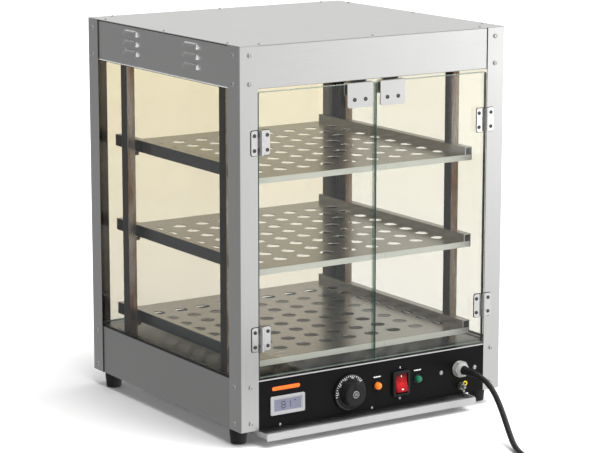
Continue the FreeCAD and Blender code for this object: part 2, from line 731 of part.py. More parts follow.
def door_leaf(side, side_sign, name, level):
    """The leaf on the door glass: its plate stops short of the case's knuckles."""
    tag = f"door_leaf_{side}_{name}"
    barrels, drill = knuckles(tag, side_sign, level, "door", "pin_radius + pin_play")
    front = f"{glass_front} - leaf_gauge"
    inner = f"{side_sign} * (hinge_inset - 13)"
    axis = f"{side_sign} * hinge_inset"
    near, far = (axis, inner) if side_sign < 0 else (inner, axis)
    plate = block(tag + "_plate", (near, front, f"{level} - leaf_height / 2"),
                  (far, glass_front, f"{level} + leaf_height / 2"))
    clear = f"{side_sign} * (hinge_inset - knuckle_radius - 0.5)"
    clear_near, clear_far = (f"{axis} - 1", clear) if side_sign < 0 else (clear, f"{axis} + 1")
    notches = [block(f"{tag}_notch_{number}", (clear_near, f"{front} - 1", f"{level} + {low}"),
                     (clear_far, f"{glass_front} + 1", f"{level} + {high}"))
               for number, (low, high) in enumerate(((-15.5, -4.7), (4.7, 15.5)))]
    screw_bores = [rod(f"{tag}_screw_{rise}".replace(".", "_").replace("-", "m"),
                       (f"{side_sign} * (hinge_inset - 9.5)", f"{front} - 1", f"{level} + {rise}"),
                       "y", "1.2", "4") for rise in (-HINGE_SCREW_RISE, HINGE_SCREW_RISE)]
    whole = join(tag + "_whole", [plate] + barrels)
    return cut(tag, whole, [drill] + notches + screw_bores)


def catch_clip(side, side_sign):
    """A folded clip over the glass edge, with the two holes of its clamping screws."""
    label = f"door_clip_{side}"
    near, far = sorted((side_sign * CLIP_NEAR, side_sign * CLIP_FAR))
    front_plate = block(label + "_front", (str(near), f"{glass_front} - {CLIP_GAUGE}", str(CLIP_LOW)),
                        (str(far), glass_front, str(CLIP_HIGH)))
    bridge = block(label + "_bridge", (str(near), f"{glass_front} - {CLIP_GAUGE}", "door_high"),
                   (str(far), f"{glass_back} + {CLIP_GAUGE}", str(CLIP_HIGH)))
    back_plate = block(label + "_back", (str(near), glass_back, "406"),
                       (str(far), f"{glass_back} + {CLIP_GAUGE}", str(CLIP_HIGH)))
    bores = [rod(f"{label}_bore_{number}", (str(side_sign * spot), f"{glass_front} - 3", "401.6"), "y", "1.2", "3")
             for number, spot in enumerate(CLIP_SCREWS)]
    whole = join(label + "_whole", [front_plate, bridge, back_plate])
    publish(cut(label + "_bored", whole, bores), label)


case_leaves = []
for side, side_sign in side_names:
    door_glass(side, side_sign)
    catch_clip(side, side_sign)
    case_leaves += [case_leaf(side, side_sign, name, level) for name, level in hinge_levels]
    publish(gather(f"door_leaves_{side}",
                   [door_leaf(side, side_sign, name, level) for name, level in hinge_levels]),
            f"hinge_leaves_{side}_door")
publish(gather("case_leaves", case_leaves), "hinge_leaves_case")

publish(gather("pins", [
    rod(f"pin_{side}_{name}", (f"{side_sign} * hinge_inset", f"-({half_depth} + hinge_proud)",
                               f"{level} - leaf_height / 2"), "z", "pin_radius", "leaf_height")
    for side, side_sign in side_names for name, level in hinge_levels]), "hinge_pins")

publish(gather("magnets", [
    block(f"magnet_{side}", (f"{side_sign} * 23 - 10", f"-({web_deep} - 0.2)", f"{header_low} - 1.8"),
          (f"{side_sign} * 23 + 10", f"-({web_deep} - 9.8)", header_low))
    for side, side_sign in side_names]), "magnet_catches")


# Screw groups

def facing(rotation, x, y, z):
    return Placement(Vector(x, y, z), rotation)


face_side = value_of(half_width)
face_deep = value_of(half_depth)
leaf_face = face_deep + value_of("leaf_gauge")
door_leaf_face = face_deep - value_of("door_recess") + value_of("leaf_gauge")
clip_face = face_deep - value_of("door_recess") + CLIP_GAUGE
hinge_inset = value_of("hinge_inset")
post_placings = []
for level in SCREW_LEVELS:
    for sign in (-1, 1):
        across = sign * value_of("screw_side")
        along = sign * value_of("screw_deep")
        post_placings += [(post_screw, facing(FACING_FRONT, across, -face_deep, level)),
                          (post_screw, facing(FACING_REAR, across, face_deep, level)),
                          (post_screw, facing(FACING_LEFT, -face_side, along, level)),
                          (post_screw, facing(FACING_RIGHT, face_side, along, level))]
copies("post_screws", post_placings)
copies("cover_screws", [(small_screw, facing(FACING_UP, x, y, value_of("case_height")))
                        for x, y in cover_screw_places])
copies("hinge_screws_case", [
    (small_screw, facing(FACING_FRONT, sign * (hinge_inset + 8.2), -leaf_face, value_of(level) + rise))
    for sign in (-1, 1) for _, level in hinge_levels for rise in (-HINGE_SCREW_RISE, HINGE_SCREW_RISE)])
for side, side_sign in side_names:
    leaf_placings = [
        (small_screw, facing(FACING_FRONT, side_sign * (hinge_inset - 9.5), -door_leaf_face, value_of(level) + rise))
        for _, level in hinge_levels for rise in (-HINGE_SCREW_RISE, HINGE_SCREW_RISE)]
    clip_placings = [(clip_screw, facing(FACING_FRONT, side_sign * spot, -clip_face, 401.6)) for spot in CLIP_SCREWS]
    copies(f"door_screws_{side}", leaf_placings + clip_placings)


# Control panel and what is mounted on it

panel_front = "-180.3"
panel_back = f"{panel_front} + panel_gauge"
panel_face = value_of(panel_front)
PANEL_SCREWS = ((100.5, 51.5), (152, 51.5))
EDGE_SCREWS = ((-135, 22.9), (-3, 22.9), (136, 22.9))

control_panel = new_body("control_panel")
slab(control_panel, "control_panel", "XZ_Plane",
     rectangle(("-164.7", "foot_height + 0.5"), ("164.7", "panel_top")), panel_front, panel_back)
round_cuts = [
    ("knob_hole", ("knob_side", "knob_level"), "shaft_radius + 0.6"),
    ("amber_hole", ("amber_side", "control_level"), "lamp_radius + 0.1"),
    ("green_hole", ("green_side", "control_level"), "lamp_radius + 0.1"),
    ("gland_hole", ("gland_side", "gland_level"), "8.1"),
    ("earth_hole", ("gland_side + 2.5", "earth_level"), "2.6"),
]
for name, centre, radius in round_cuts:
    holes(control_panel, name, "XZ_Plane", [centre], radius)
holes(control_panel, "panel_screw_holes", "XZ_Plane", [(str(x), str(z)) for x, z in PANEL_SCREWS], "screw_radius")
holes(control_panel, "edge_screw_holes", "XZ_Plane", [(str(x), str(z)) for x, z in EDGE_SCREWS], "1.2")
window(control_panel, "meter_hole", "XZ_Plane",
       centred(("meter_side", "control_level - 3"), "meter_width - 3.8", "meter_height - 3.8"))
window(control_panel, "switch_hole", "XZ_Plane",
       centred(("switch_side", "control_level - 1.5"), "switch_width - 3.8", "switch_height - 3.8"))
publish(control_panel, "control_panel")
copies("panel_screws",
       [(post_screw, facing(FACING_FRONT, x, panel_face, z)) for x, z in PANEL_SCREWS]
       + [(small_screw, facing(FACING_FRONT, x, panel_face, z)) for x, z in EDGE_SCREWS])

meter_level = "control_level - 3"
meter_bezel = new_body("thermometer_bezel")
slab(meter_bezel, "meter_rim", "XZ_Plane", centred(("meter_side", meter_level), "meter_width", "meter_height"),
     f"{panel_front} - 2.2", panel_front)
slab(meter_bezel, "meter_case", "XZ_Plane",
     centred(("meter_side", meter_level), "meter_width - 4", "meter_height - 4"), panel_front, f"{panel_front} + 12")
doc.recompute()
meter_pocket = new_sketch(meter_bezel, "meter_window_outline", "XZ_Plane", f"-({panel_front} - 2.2)")
draw_outline(meter_pocket, centred(("meter_side", meter_level), "meter_width - 10", "meter_height - 9"))
meter_cut = meter_bezel.newObject("PartDesign::Pocket", "meter_window")
meter_cut.Profile = meter_pocket
meter_cut.Length = 2.4
doc.recompute()
publish(meter_bezel, "thermometer_bezel")

meter_screen = new_body("thermometer_screen")
slab(meter_screen, "meter_screen", "XZ_Plane",
     centred(("meter_side", meter_level), "meter_width - 10.2", "meter_height - 9.2"),
     f"{panel_front} - 1.3", f"{panel_front} + 0.2")
publish(meter_screen, "thermometer_screen")

thermostat = new_body("thermostat_body")
slab(thermostat, "thermostat_case", "XZ_Plane", centred(("knob_side", "knob_level"), "34", "34"),
     panel_back, f"{panel_back} + 26")
holes(thermostat, "thermostat_bore", "XZ_Plane", [("knob_side", "knob_level")], "shaft_radius + 0.05")
publish(thermostat, "thermostat_body")
publish(rod("shaft_rod", ("knob_side", f"{panel_front} - 12", "knob_level"), "y", "shaft_radius", "36"),
        "thermostat_shaft")

knob = new_body("thermostat_knob")
spin_profile(knob, "knob", [
    ("shaft_radius", "0"), ("skirt_radius - 1", "0"), ("skirt_radius", "1"), ("skirt_radius - 0.6", "2"),
    ("cap_radius + 0.8", "3.4"), ("cap_radius", "4.2"), ("cap_radius - 0.9", "13.6"), ("cap_radius - 2.4", "15"),
    ("0", "15"), ("0", "11.2"), ("shaft_radius", "11.2")])
doc.recompute()
move_to(knob, ("knob_side", f"{panel_front} - 0.8", "knob_level"), FACING_FRONT)
publish(knob, "thermostat_knob")

for label, side_text in (("lamp_amber", "amber_side"), ("lamp_green", "green_side")):
    lamp = new_body(label)
    spin_profile(lamp, label, [
        ("0", "-18"), ("lamp_radius", "-18"), ("lamp_radius", "0"), ("lamp_radius + 1", "0"),
        ("lamp_radius + 1", "1.6"), ("lamp_radius + 0.2", "2.2"), ("lamp_radius - 0.3", "5"),
        ("lamp_radius - 1.6", "7.2"), ("lamp_radius - 3.4", "8.3"), ("0", "8.7")])
    doc.recompute()
    move_to(lamp, (side_text, panel_front, "control_level"), FACING_FRONT)
    publish(lamp, label)


# Rocker switch: a bezel with a deep well, and a rocker pressed down at the top

switch_level = "control_level - 1.5"
ROCKER_TILT = 11
switch_housing = new_body("switch_housing")
slab(switch_housing, "switch_rim", "XZ_Plane",
     centred(("switch_side", switch_level), "switch_width", "switch_height"), f"{panel_front} - 2.6", panel_front)
slab(switch_housing, "switch_case", "XZ_Plane",
     centred(("switch_side", switch_level), "switch_width - 4", "switch_height - 4"), panel_front, f"{panel_front} + 22")
doc.recompute()
well = new_sketch(switch_housing, "switch_well_outline", "XZ_Plane", f"-({panel_front} - 2.6)")
draw_outline(well, centred(("switch_side", switch_level), "switch_width - 8", "switch_height - 7"))
well_cut = switch_housing.newObject("PartDesign::Pocket", "switch_well")
well_cut.Profile = well
well_cut.Length = 16
doc.recompute()
publish(switch_housing, "switch_housing")

rocker = new_body("switch_rocker")
rocker_sketch = new_sketch(rocker, "rocker_outline", "YZ_Plane", "-(switch_width - 8.8) / 2")
draw_outline(rocker_sketch, [
    ("-5.6", "-11.2"), ("-4.2", "-5.6"), ("-3.7", "0"), ("-4.2", "5.6"), ("-5.6", "11.2"),
    ("-1", "11.6"), ("4.5", "4.5"), ("6.5", "0"), ("4.5", "-4.5"), ("-1", "-11.6")])
rocker_pad = rocker.newObject("PartDesign::Pad", "rocker_pad")
rocker_pad.Profile = rocker_sketch
bind(rocker_pad, "Length", "switch_width - 8.8")
doc.recompute()
disc(rocker, "rocker_pivot", "YZ_Plane", ("0", "0"), "1.6", "-(switch_width - 8.2) / 2", "(switch_width - 8.2) / 2")
doc.recompute()
move_to(rocker, ("switch_side", panel_front, switch_level), Rotation(Vector(1, 0, 0), -ROCKER_TILT))
publish(rocker, "switch_rocker")


# Cable gland, its sleeve, and the earth terminal

GLAND_MOUTH = 18.7
gland = new_body("cable_gland")
spin_profile(gland, "gland", [
    ("0", "-12"), ("8", "-12"), ("8", "0"), ("10.2", "0"), ("10.2", "1.2"), ("9.2", "1.6"), ("9.2", "6.4"),
    ("8.6", "7.4"), ("7.6", "9.2"), ("6.2", "10.4"), ("0", "10.4")])
doc.recompute()
hexagon = new_sketch(gland, "gland_hexagon", "XY_Plane", "1.2")
hexagon_corners = [(str(round(10.6 * math.cos(math.radians(60 * step)), 4)),
                    str(round(10.6 * math.sin(math.radians(60 * step)), 4))) for step in range(6)]
draw_outline(hexagon, hexagon_corners)
hexagon_pad = gland.newObject("PartDesign::Pad", "gland_hexagon_pad")
hexagon_pad.Profile = hexagon
hexagon_pad.Length = 5
doc.recompute()
move_to(gland, ("gland_side", panel_front, "gland_level"), FACING_FRONT)
publish(gland, "cable_gland")

sleeve = new_body("strain_relief")
spin_profile(sleeve, "sleeve", [
    ("0", "10.4"), ("5.4", "10.4"), ("5.2", "13"), ("cord_radius + 0.6", "32"), ("cord_radius + 0.1", "34"),
    ("0", "34")])
doc.recompute()
move_to(sleeve, ("gland_side", panel_front, "gland_level"), FACING_FRONT)
publish(sleeve, "strain_relief")

earth = new_body("earth_stud")
spin_profile(earth, "earth", [
    ("0", "-10"), ("2.5", "-10"), ("2.5", "0"), ("5.5", "0"), ("5.5", "1.2"), ("2.5", "1.2"), ("2.5", "9"),
    ("1.9", "9.8"), ("0", "9.8")])
doc.recompute()
nut = new_sketch(earth, "earth_nut_hexagon", "XY_Plane", "1.2")
nut_corners = [(str(round(4.9 * math.cos(math.radians(60 * step + 12)), 4)),
                str(round(4.9 * math.sin(math.radians(60 * step + 12)), 4))) for step in range(6)]
draw_outline(nut, nut_corners)
nut_pad = earth.newObject("PartDesign::Pad", "earth_nut_pad")
nut_pad.Profile = nut
nut_pad.Length = 4.2
doc.recompute()
move_to(earth, ("gland_side + 2.5", panel_front, "earth_level"), FACING_FRONT)
publish(earth, "earth_terminal")


# Rubber feet, pressed into the bottom plate by their stems

foot = new_body("foot_seed")
spin_profile(foot, "foot", [
    ("0", "0"), ("foot_radius - 2", "0"), ("foot_radius - 1.2", "1"), ("foot_radius", "foot_height - 1"),
    ("foot_radius - 0.6", "foot_height"), ("3.8", "foot_height"), ("3.8", "foot_height + 3"), ("0", "foot_height + 3")])
doc.recompute()
copies("rubber_feet", [
    (foot, Placement(Vector(sx * value_of("foot_side"), sy * value_of("foot_deep"), 0), Rotation()))
    for sx in (-1, 1) for sy in (-1, 1)])


# Crumb tray: a shallow pan that slides out to the front

tray = new_body("crumb_tray")
tray_left = "tray_side - tray_width / 2"
tray_right = "tray_side + tray_width / 2"
slab(tray, "tray_pan", "XY_Plane",
     rectangle((tray_left, "tray_front"), (tray_right, "tray_rear")), "tray_low", "tray_high")
doc.recompute()
tray_well = new_sketch(tray, "tray_well_outline", "XY_Plane", "tray_high")
draw_outline(tray_well, rectangle((f"{tray_left} + tray_gauge", "tray_front + tray_gauge"),
                                  (f"{tray_right} - tray_gauge", "tray_rear - tray_gauge")))
tray_cut = tray.newObject("PartDesign::Pocket", "tray_well")
tray_cut.Profile = tray_well
bind(tray_cut, "Length", "tray_high - tray_low - tray_gauge")
doc.recompute()
publish(tray, "crumb_tray")


# Inside the base: a U-shaped tubular heater, its two folded brackets, and the terminal block

HEATER_RADIUS = 4
HEATER_LEVEL = 58
HEATER_HALF = 70
BRACKET_SPOTS = (-80, 60)


def heater_shape():
    """A hairpin tube with its ends towards the front."""
    near, far = -110, 90
    path = Part.Wire([
        Part.LineSegment(Vector(-HEATER_HALF, near, HEATER_LEVEL), Vector(-HEATER_HALF, far, HEATER_LEVEL)).toShape(),
        Part.Arc(Vector(-HEATER_HALF, far, HEATER_LEVEL), Vector(0, far + HEATER_HALF, HEATER_LEVEL),
                 Vector(HEATER_HALF, far, HEATER_LEVEL)).toShape(),
        Part.LineSegment(Vector(HEATER_HALF, far, HEATER_LEVEL), Vector(HEATER_HALF, near, HEATER_LEVEL)).toShape()])
    start = Vector(-HEATER_HALF, near, HEATER_LEVEL)
    section = Part.Wire(Part.Circle(start, Vector(0, 1, 0), HEATER_RADIUS).toShape())
    return path.makePipeShell([section], True, False)


heater = doc.addObject("Part::Feature", "heating_element")
heater.Shape = heater_shape()
heater.Placement = Placement()
publish(heater, "heating_element")

bracket_solids = []
for number, spot in enumerate(BRACKET_SPOTS):
    bracket = new_body(f"heater_bracket_{number}")
    floor = "foot_height + sheet_gauge"
    seat = f"{HEATER_LEVEL - HEATER_RADIUS - 0.2}"
    reach = HEATER_HALF + 10
    slab(bracket, f"heater_bracket_{number}", "XZ_Plane", [
        (f"-{reach + 14}", floor), (f"-{reach - 1}", floor), (f"-{reach - 1}", f"{seat} - 1"),
        (f"{reach - 1}", f"{seat} - 1"), (f"{reach - 1}", floor), (f"{reach + 14}", floor),
        (f"{reach + 14}", f"{floor} + 1"), (f"{reach}", f"{floor} + 1"), (f"{reach}", seat),
        (f"-{reach}", seat), (f"-{reach}", f"{floor} + 1"), (f"-{reach + 14}", f"{floor} + 1")],
        str(spot), str(spot + 12))
    bracket_solids.append(bracket)
publish(gather("heater_bracket_pair", bracket_solids), "heater_brackets")

terminal_block = new_body("terminal_block")
slab(terminal_block, "terminal_block", "YZ_Plane",
     [("-140", "foot_height + sheet_gauge"), ("-112", "foot_height + sheet_gauge"), ("-112", "30"),
      ("-118", "38"), ("-134", "38"), ("-140", "30")], "96", "140")
publish(terminal_block, "terminal_block")


# Mains lead: a tube from the sleeve down to the table and along it to the coil

CORD_ROUTE = [
    (128, -214.3, 53), (125.5, -236, 51.5), (118.5, -258, 47.5), (110, -280, 41.5), (101, -302, 32),
    (92, -324, 19.5), (82.5, -346, 8), (72.5, -369, 3.7), (64.5, -395, 3.6), (59, -422, 3.6),
    (55.5, -447, 3.6), (53.5, -470, 3.6),
]
ARC_SHARE = 0.45


def cord_path(points):
    """Straight runs joined by tangent arcs, each arc as large as its shorter run allows."""
    spots = [Vector(*point) for point in points]
    edges = []
    start = spots[0]
    for before, corner, after in zip(spots, spots[1:], spots[2:]):
        arriving = (corner - before).normalize()
        leaving = (after - corner).normalize()
        turn = arriving.getAngle(leaving)
        setback = ARC_SHARE * min((corner - before).Length, (after - corner).Length)
        radius = setback / math.tan(turn / 2)
        print(f"turn {math.degrees(turn):5.1f} deg, radius {radius:6.1f} mm")
        arc_start = corner - arriving * setback
        arc_end = corner + leaving * setback
        bisector = (leaving - arriving).normalize()
        middle = corner + bisector * (radius / math.cos(turn / 2) - radius)
        edges.append(Part.LineSegment(start, arc_start).toShape())
        edges.append(Part.Arc(arc_start, middle, arc_end).toShape())
        start = arc_end
    edges.append(Part.LineSegment(start, spots[-1]).toShape())
    return Part.Wire(edges)


path = cord_path(CORD_ROUTE)
cord_radius = value_of("cord_radius")
first = Vector(*CORD_ROUTE[0])
heading = Vector(*CORD_ROUTE[1]) - first
section = Part.Wire(Part.Circle(first, heading, cord_radius).toShape())
cord = doc.addObject("Part::Feature", "cord")
cord.Shape = path.makePipeShell([section], True, False)
cord.Placement = Placement()
publish(cord, "cord")
expected = math.pi * cord_radius ** 2 * path.Length
print(f"cord tube {path.Length:.1f} mm long, volume {cord.Shape.Volume:.0f}, section times length {expected:.0f}")
if abs(cord.Shape.Volume / expected - 1) > 0.01:
    raise RuntimeError("the cord's tube doesn't have its volume")

coil = new_body("cord_coil")
disc(coil, "coil_disc", "XY_Plane", ("coil_side", "coil_deep"), "coil_outer", "0", "coil_height")
holes(coil, "coil_eye", "XY_Plane", [("coil_side", "coil_deep")], "coil_inner")
publish(coil, "cord_coil")

# Plug: drawn along +X from the cord's end, then turned to point away from the case
PLUG_HEADING = -123.1
plug_axis = 12
plug_parts = [
    cone("plug_tail", ("0", "0", str(plug_axis)), "x", "cord_radius + 0.4", "6", "30"),
    block("plug_neck", ("28", "-9", "2"), ("38", "9", "22")),
    block("plug_grip", ("38", "-13", "0"), ("60", "13", "24")),
    block("blade_left", ("59", "-7.1", "8.8"), ("76", "-5.6", "15.2")),
    block("blade_right", ("59", "5.6", "8.8"), ("76", "7.1", "15.2")),
    rod("ground_pin", ("59", "0", "20.4"), "x", "2.4", "19"),
]
plug = join("plug_whole", plug_parts)
plug.Placement = Placement(Vector(43.2, -488.9, 0), Rotation(Vector(0, 0, 1), PLUG_HEADING))
publish(plug, "plug")


doc.recompute()
for item in doc.Objects:
    if "Invalid" in item.State or "Error" in item.State:
        raise RuntimeError(f"{item.Name} ({item.Label}) failed: {item.State}")
labels = [item.Label for item in sub_parts]
if len(set(labels)) != len(labels):
    raise RuntimeError("two sub-parts share a label")
for item in sub_parts:
    if item.Shape.isNull() or not item.Shape.isValid():
        raise RuntimeError(f"{item.Label} has no valid shape")
os.makedirs("parts", exist_ok=True)
for item in sub_parts:
    item.Shape.exportStep(f"parts/{item.Label}.step")
    print(f"{item.Label}: {len(item.Shape.Solids)} solids, {item.Shape.Volume:.0f} mm3")
print(f"{len(sub_parts)} sub-parts")
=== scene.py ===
import math

import bmesh
import bpy
from bpy.props import FloatProperty, FloatVectorProperty, IntProperty, PointerProperty
from mathutils import Matrix, Vector


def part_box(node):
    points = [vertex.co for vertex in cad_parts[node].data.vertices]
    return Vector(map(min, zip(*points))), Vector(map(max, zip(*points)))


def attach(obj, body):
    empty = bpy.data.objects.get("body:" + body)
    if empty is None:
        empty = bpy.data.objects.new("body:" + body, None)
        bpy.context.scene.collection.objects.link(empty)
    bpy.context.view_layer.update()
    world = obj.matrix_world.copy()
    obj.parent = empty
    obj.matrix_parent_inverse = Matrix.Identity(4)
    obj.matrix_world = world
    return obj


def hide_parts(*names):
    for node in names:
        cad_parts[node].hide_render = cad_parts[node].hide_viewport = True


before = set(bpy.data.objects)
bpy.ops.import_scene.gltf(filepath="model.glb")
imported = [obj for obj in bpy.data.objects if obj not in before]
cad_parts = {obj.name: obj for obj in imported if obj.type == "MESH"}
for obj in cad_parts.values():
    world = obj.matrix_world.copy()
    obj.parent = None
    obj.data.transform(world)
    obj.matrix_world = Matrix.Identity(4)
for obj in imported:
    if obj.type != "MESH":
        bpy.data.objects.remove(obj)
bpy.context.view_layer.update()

bl_info = {
    "name": "Hot food display case",
    "version": (1, 0, 0),
    "blender": (4, 5, 0),
    "location": "3D View > Sidebar > Display case",
    "description": "Builds a countertop hot food display case piece by piece",
    "category": "Add Mesh",
}

MM = 0.001

# ---------------------------------------------------------------- measures, in mm

SIDES = (("left", -1), ("right", 1))
ENDS = (("front", -1), ("rear", 1))
HALF_WIDTH, HALF_DEPTH = 190.0, 181.0        # over the corner posts
TOP, FOOT = 475.0, 20.0                      # top of the cover, height of the feet
POST_LENGTH, POST_FLANGE, POST_GAUGE = 454, 25.0, 1.2
SKIN, SIDE_RUN = 188.8, 357.2                # outer face and length of the side sheets
HEADER_LOW = 424                             # lower edge of the headers
PANEL = -180.3                               # front face of the control panel
SCREW_LEVELS = (463.5, 430.5, 73.5, 29.5)
SHELF_LEVELS = (316, 207, 97)
RAIL_MIDDLES = {"left": (-121.5, 114.5), "right": (-101.5, 134.5)}
HINGE_LEVELS = (362.0, 130.0)
HINGE_PIN = (162, -184)
LEAF_HALF, KNUCKLE_HALF = 14.5, 4.7
CASE_LEAF, DOOR_LEAF = (-182.2, -181), (-181.9, -180.7)   # front and back faces of the leaves
THERMOMETER, SWITCH = (-125, 46.5), (38.5, 48.0)          # places on the panel, x and z
KNOB, GLAND, EARTH = (-36.5, 47.5), (128, 53), (130.5, 30.5)
LAMPS = (("amber", 4.5), ("green", 64.5))

LEAD_ROUTE = (
    (128, -214.3, 53), (125.5, -236, 51.5), (118.5, -258, 47.5), (110, -280, 41.5), (101, -302, 32),
    (92, -324, 19.5), (82.5, -346, 8), (72.5, -369, 3.7), (64.5, -395, 3.6), (59, -422, 3.6),
    (55.5, -447, 3.6), (53.5, -470, 3.6),
)
COIL_CENTRE = (8.0, -466.0)
COIL_LAYS = ((45.7, 3.6), (38.5, 3.6), (31.3, 3.6), (35.0, 10.7), (42.0, 10.7))   # radius and height of each turn
COIL_STEP, COIL_END = 24, 393                                                     # degrees
COIL_TAIL = (42.0, 11.6)


# ---------------------------------------------------------------- settings

def length_setting(name, description, default):
    return FloatProperty(name=name, description=description, default=default, unit="LENGTH")


def colour_setting(name, description, default):
    return FloatVectorProperty(name=name, description=description, default=default, subtype="COLOR")


class CaseSizes(bpy.types.PropertyGroup):
    """Sizes of the finer details that the frame leaves open."""
    sheet_bend: length_setting("Sheet bend", "Outside radius of a folded sheet edge", 1.6 * MM)
    sheet_edge: length_setting("Sheet edge", "Rounding of a cut sheet edge", 0.25 * MM)
    glass_arris: length_setting("Glass arris", "Ground chamfer along a glass edge", 0.6 * MM)
    leaf_corner: length_setting("Leaf corner", "Corner radius of a hinge leaf", 2.6 * MM)
    dial_marks: IntProperty(name="Dial marks", description="Number of marks round the thermostat dial", default=19)
    rocker_corner: length_setting("Rocker corner", "Corner radius of the switch rocker", 1.6 * MM)
    lead_diameter: length_setting("Lead diameter", "Outside diameter of the mains lead", 7 * MM)
    lead_length: length_setting("Lead length", "Length of the mains lead from the gland to the plug", 1.5)


class CaseColours(bpy.types.PropertyGroup):
    """Colours of the finishes."""
    steel: colour_setting("Steel", "Stainless sheet", (0.70, 0.70, 0.69))
    panel: colour_setting("Panel", "Black control panel", (0.005, 0.005, 0.0053))
    amber: colour_setting("Amber", "Heating lamp lens", (0.70, 0.17, 0.008))
    green: colour_setting("Green", "Power lamp lens", (0.004, 0.12, 0.06))
    rocker: colour_setting("Rocker", "Lit switch rocker", (0.22, 0.002, 0.004))
    glow: colour_setting("Glow", "Warm light inside the case", (1.0, 0.80, 0.52))
    accent: colour_setting("Accent", "Printed accent bar", (0.9, 0.16, 0.01))


# ---------------------------------------------------------------- shading

class Value:
    """A shader socket that takes part in arithmetic."""

    def __init__(self, nodes, socket):
        self.nodes = nodes
        self.socket = socket

    def _with(self, operation, first, second):
        return self.nodes.node("ShaderNodeMath", {"operation": operation}, {0: first, 1: second})

    def __add__(self, other):
        return self._with("ADD", self, other)

    __radd__ = __add__

    def __sub__(self, other):
        return self._with("SUBTRACT", self, other)

    def __rsub__(self, other):
        return self._with("SUBTRACT", other, self)

    def __mul__(self, other):
        return self._with("MULTIPLY", self, other)

    __rmul__ = __mul__

    def __pow__(self, other):
        return self._with("POWER", self, other)


class Nodes:
    """A node tree whose nodes come from one method."""

    def __init__(self, owner, output):
        owner.use_nodes = True
        self.tree = owner.node_tree
        self.tree.nodes.clear()
        self.output = self.tree.nodes.new(output)
        self.places = self.tree.nodes.new("ShaderNodeTexCoord").outputs

    def feed(self, socket, value):
        if isinstance(value, Value):
            self.tree.links.new(value.socket, socket)
        elif isinstance(value, bpy.types.NodeSocket):
            self.tree.links.new(value, socket)
        else:
            socket.default_value = value

    def node(self, kind, settings=None, sockets=None, output=0):
        made = self.tree.nodes.new(kind)
        for name, value in (settings or {}).items():
            if name == "eased_stops":
                made.color_ramp.interpolation = "EASE"
                for stop, (position, colour) in zip(made.color_ramp.elements, value):
                    stop.position, stop.color = position, (*colour, 1)
            else:
                setattr(made, name, value)
        for name, value in (sockets or {}).items():
            self.feed(made.inputs[name], value)
        return Value(self, made.outputs[output])

    def finish(self, surface):
        self.feed(self.output.inputs["Surface"], surface)


class Finish(Nodes):
    """A material, patterned by its object's own coordinates."""

    def __init__(self, name):
        self.material = bpy.data.materials.new(name)
        super().__init__(self.material, "ShaderNodeOutputMaterial")
        self.place = self.places["Object"]

    def noise(self, scale, detail=3, stretch=(1, 1, 1)):
        spot = self.node("ShaderNodeMapping", {}, {"Vector": self.place, "Scale": stretch})
        return self.node("ShaderNodeTexNoise", {}, {"Vector": spot, "Scale": scale, "Detail": detail})

    def grains(self, axis="x"):
        """The fine lines that rolling leaves along one axis."""
        return self.noise(900.0, 2, {"x": (0.03, 1, 1), "y": (1, 0.03, 1), "z": (1, 1, 0.03)}[axis])

    def blend(self, factor, first, second):
        first, second = ((*colour, 1) if isinstance(colour, tuple) else colour for colour in (first, second))
        return self.node("ShaderNodeMix", {"data_type": "RGBA"}, {0: factor, 6: first, 7: second}, 2)

    def shades(self, factor, colour, darkest, lightest):
        return self.blend(factor, scaled(colour, darkest), scaled(colour, lightest))

    def bump(self, height, strength, distance):
        return self.node("ShaderNodeBump", {}, {"Height": height, "Strength": strength, "Distance": distance * MM})

    def axis(self, name):
        return self.node("ShaderNodeSeparateXYZ", {}, {"Vector": self.place}, "XYZ".index(name))

    def fade(self, value, start, end):
        return self.node("ShaderNodeMapRange", {"clamp": True},
                         {"Value": value, "From Min": start, "From Max": end, "To Min": 0.0, "To Max": 1.0})

    def principled(self, **sockets):
        return self.node("ShaderNodeBsdfPrincipled", {}, {
            name.replace("_", " "): (*value, 1) if isinstance(value, tuple) else value
            for name, value in sockets.items()})

    def clear(self, colour):
        return self.node("ShaderNodeBsdfTransparent", {}, {"Color": (*colour, 1)})

    def mix_shaders(self, factor, first, second):
        return self.node("ShaderNodeMixShader", {}, {0: factor, 1: first, 2: second})

    def done(self, shader):
        self.finish(shader)
        return self.material

    def surface(self, **sockets):
        return self.done(self.principled(**sockets))


def scaled(colour, factor):
    return tuple(min(1.0, channel * factor) for channel in colour)


def brushed_steel(name, colour, grain, roughness, metal=1.0):
    """Rolled stainless sheet: fine grain along one direction, faint smears and handling marks."""
    finish = Finish(name)
    grains = finish.grains(grain)
    fine = finish.noise(2600.0, 1)
    smears = finish.noise(9.0, 4)
    patches = finish.noise(34.0, 3)
    shade = finish.shades(grains * 0.45 + fine * 0.25 + smears * 0.3, colour, 0.87, 1.1)
    rough = grains * 0.1 + smears * 0.1 + patches * 0.04 + (roughness - 0.1)
    return finish.surface(Base_Color=shade, Metallic=metal, Roughness=rough,
                          Normal=finish.bump(grains * 0.7 + fine * 0.3, 0.06, 0.2))


def rail_steel(name, pale, brown):
    """Bright tube that mirrors the warm food space: pale and brown bands along its height."""
    finish = Finish(name)
    grains = finish.grains("z")
    broad = finish.fade(finish.noise(26.0, 2, (3.0, 3.0, 0.55)), 0.36, 0.62)
    shade = finish.blend(broad, scaled(brown, 0.9), pale)
    shade = finish.blend(grains * 0.3, shade, scaled(brown, 0.4))
    return finish.surface(Base_Color=shade, Metallic=1.0 - broad * 0.25, Roughness=grains * 0.1 + 0.22,
                          Normal=finish.bump(grains, 0.05, 0.2))


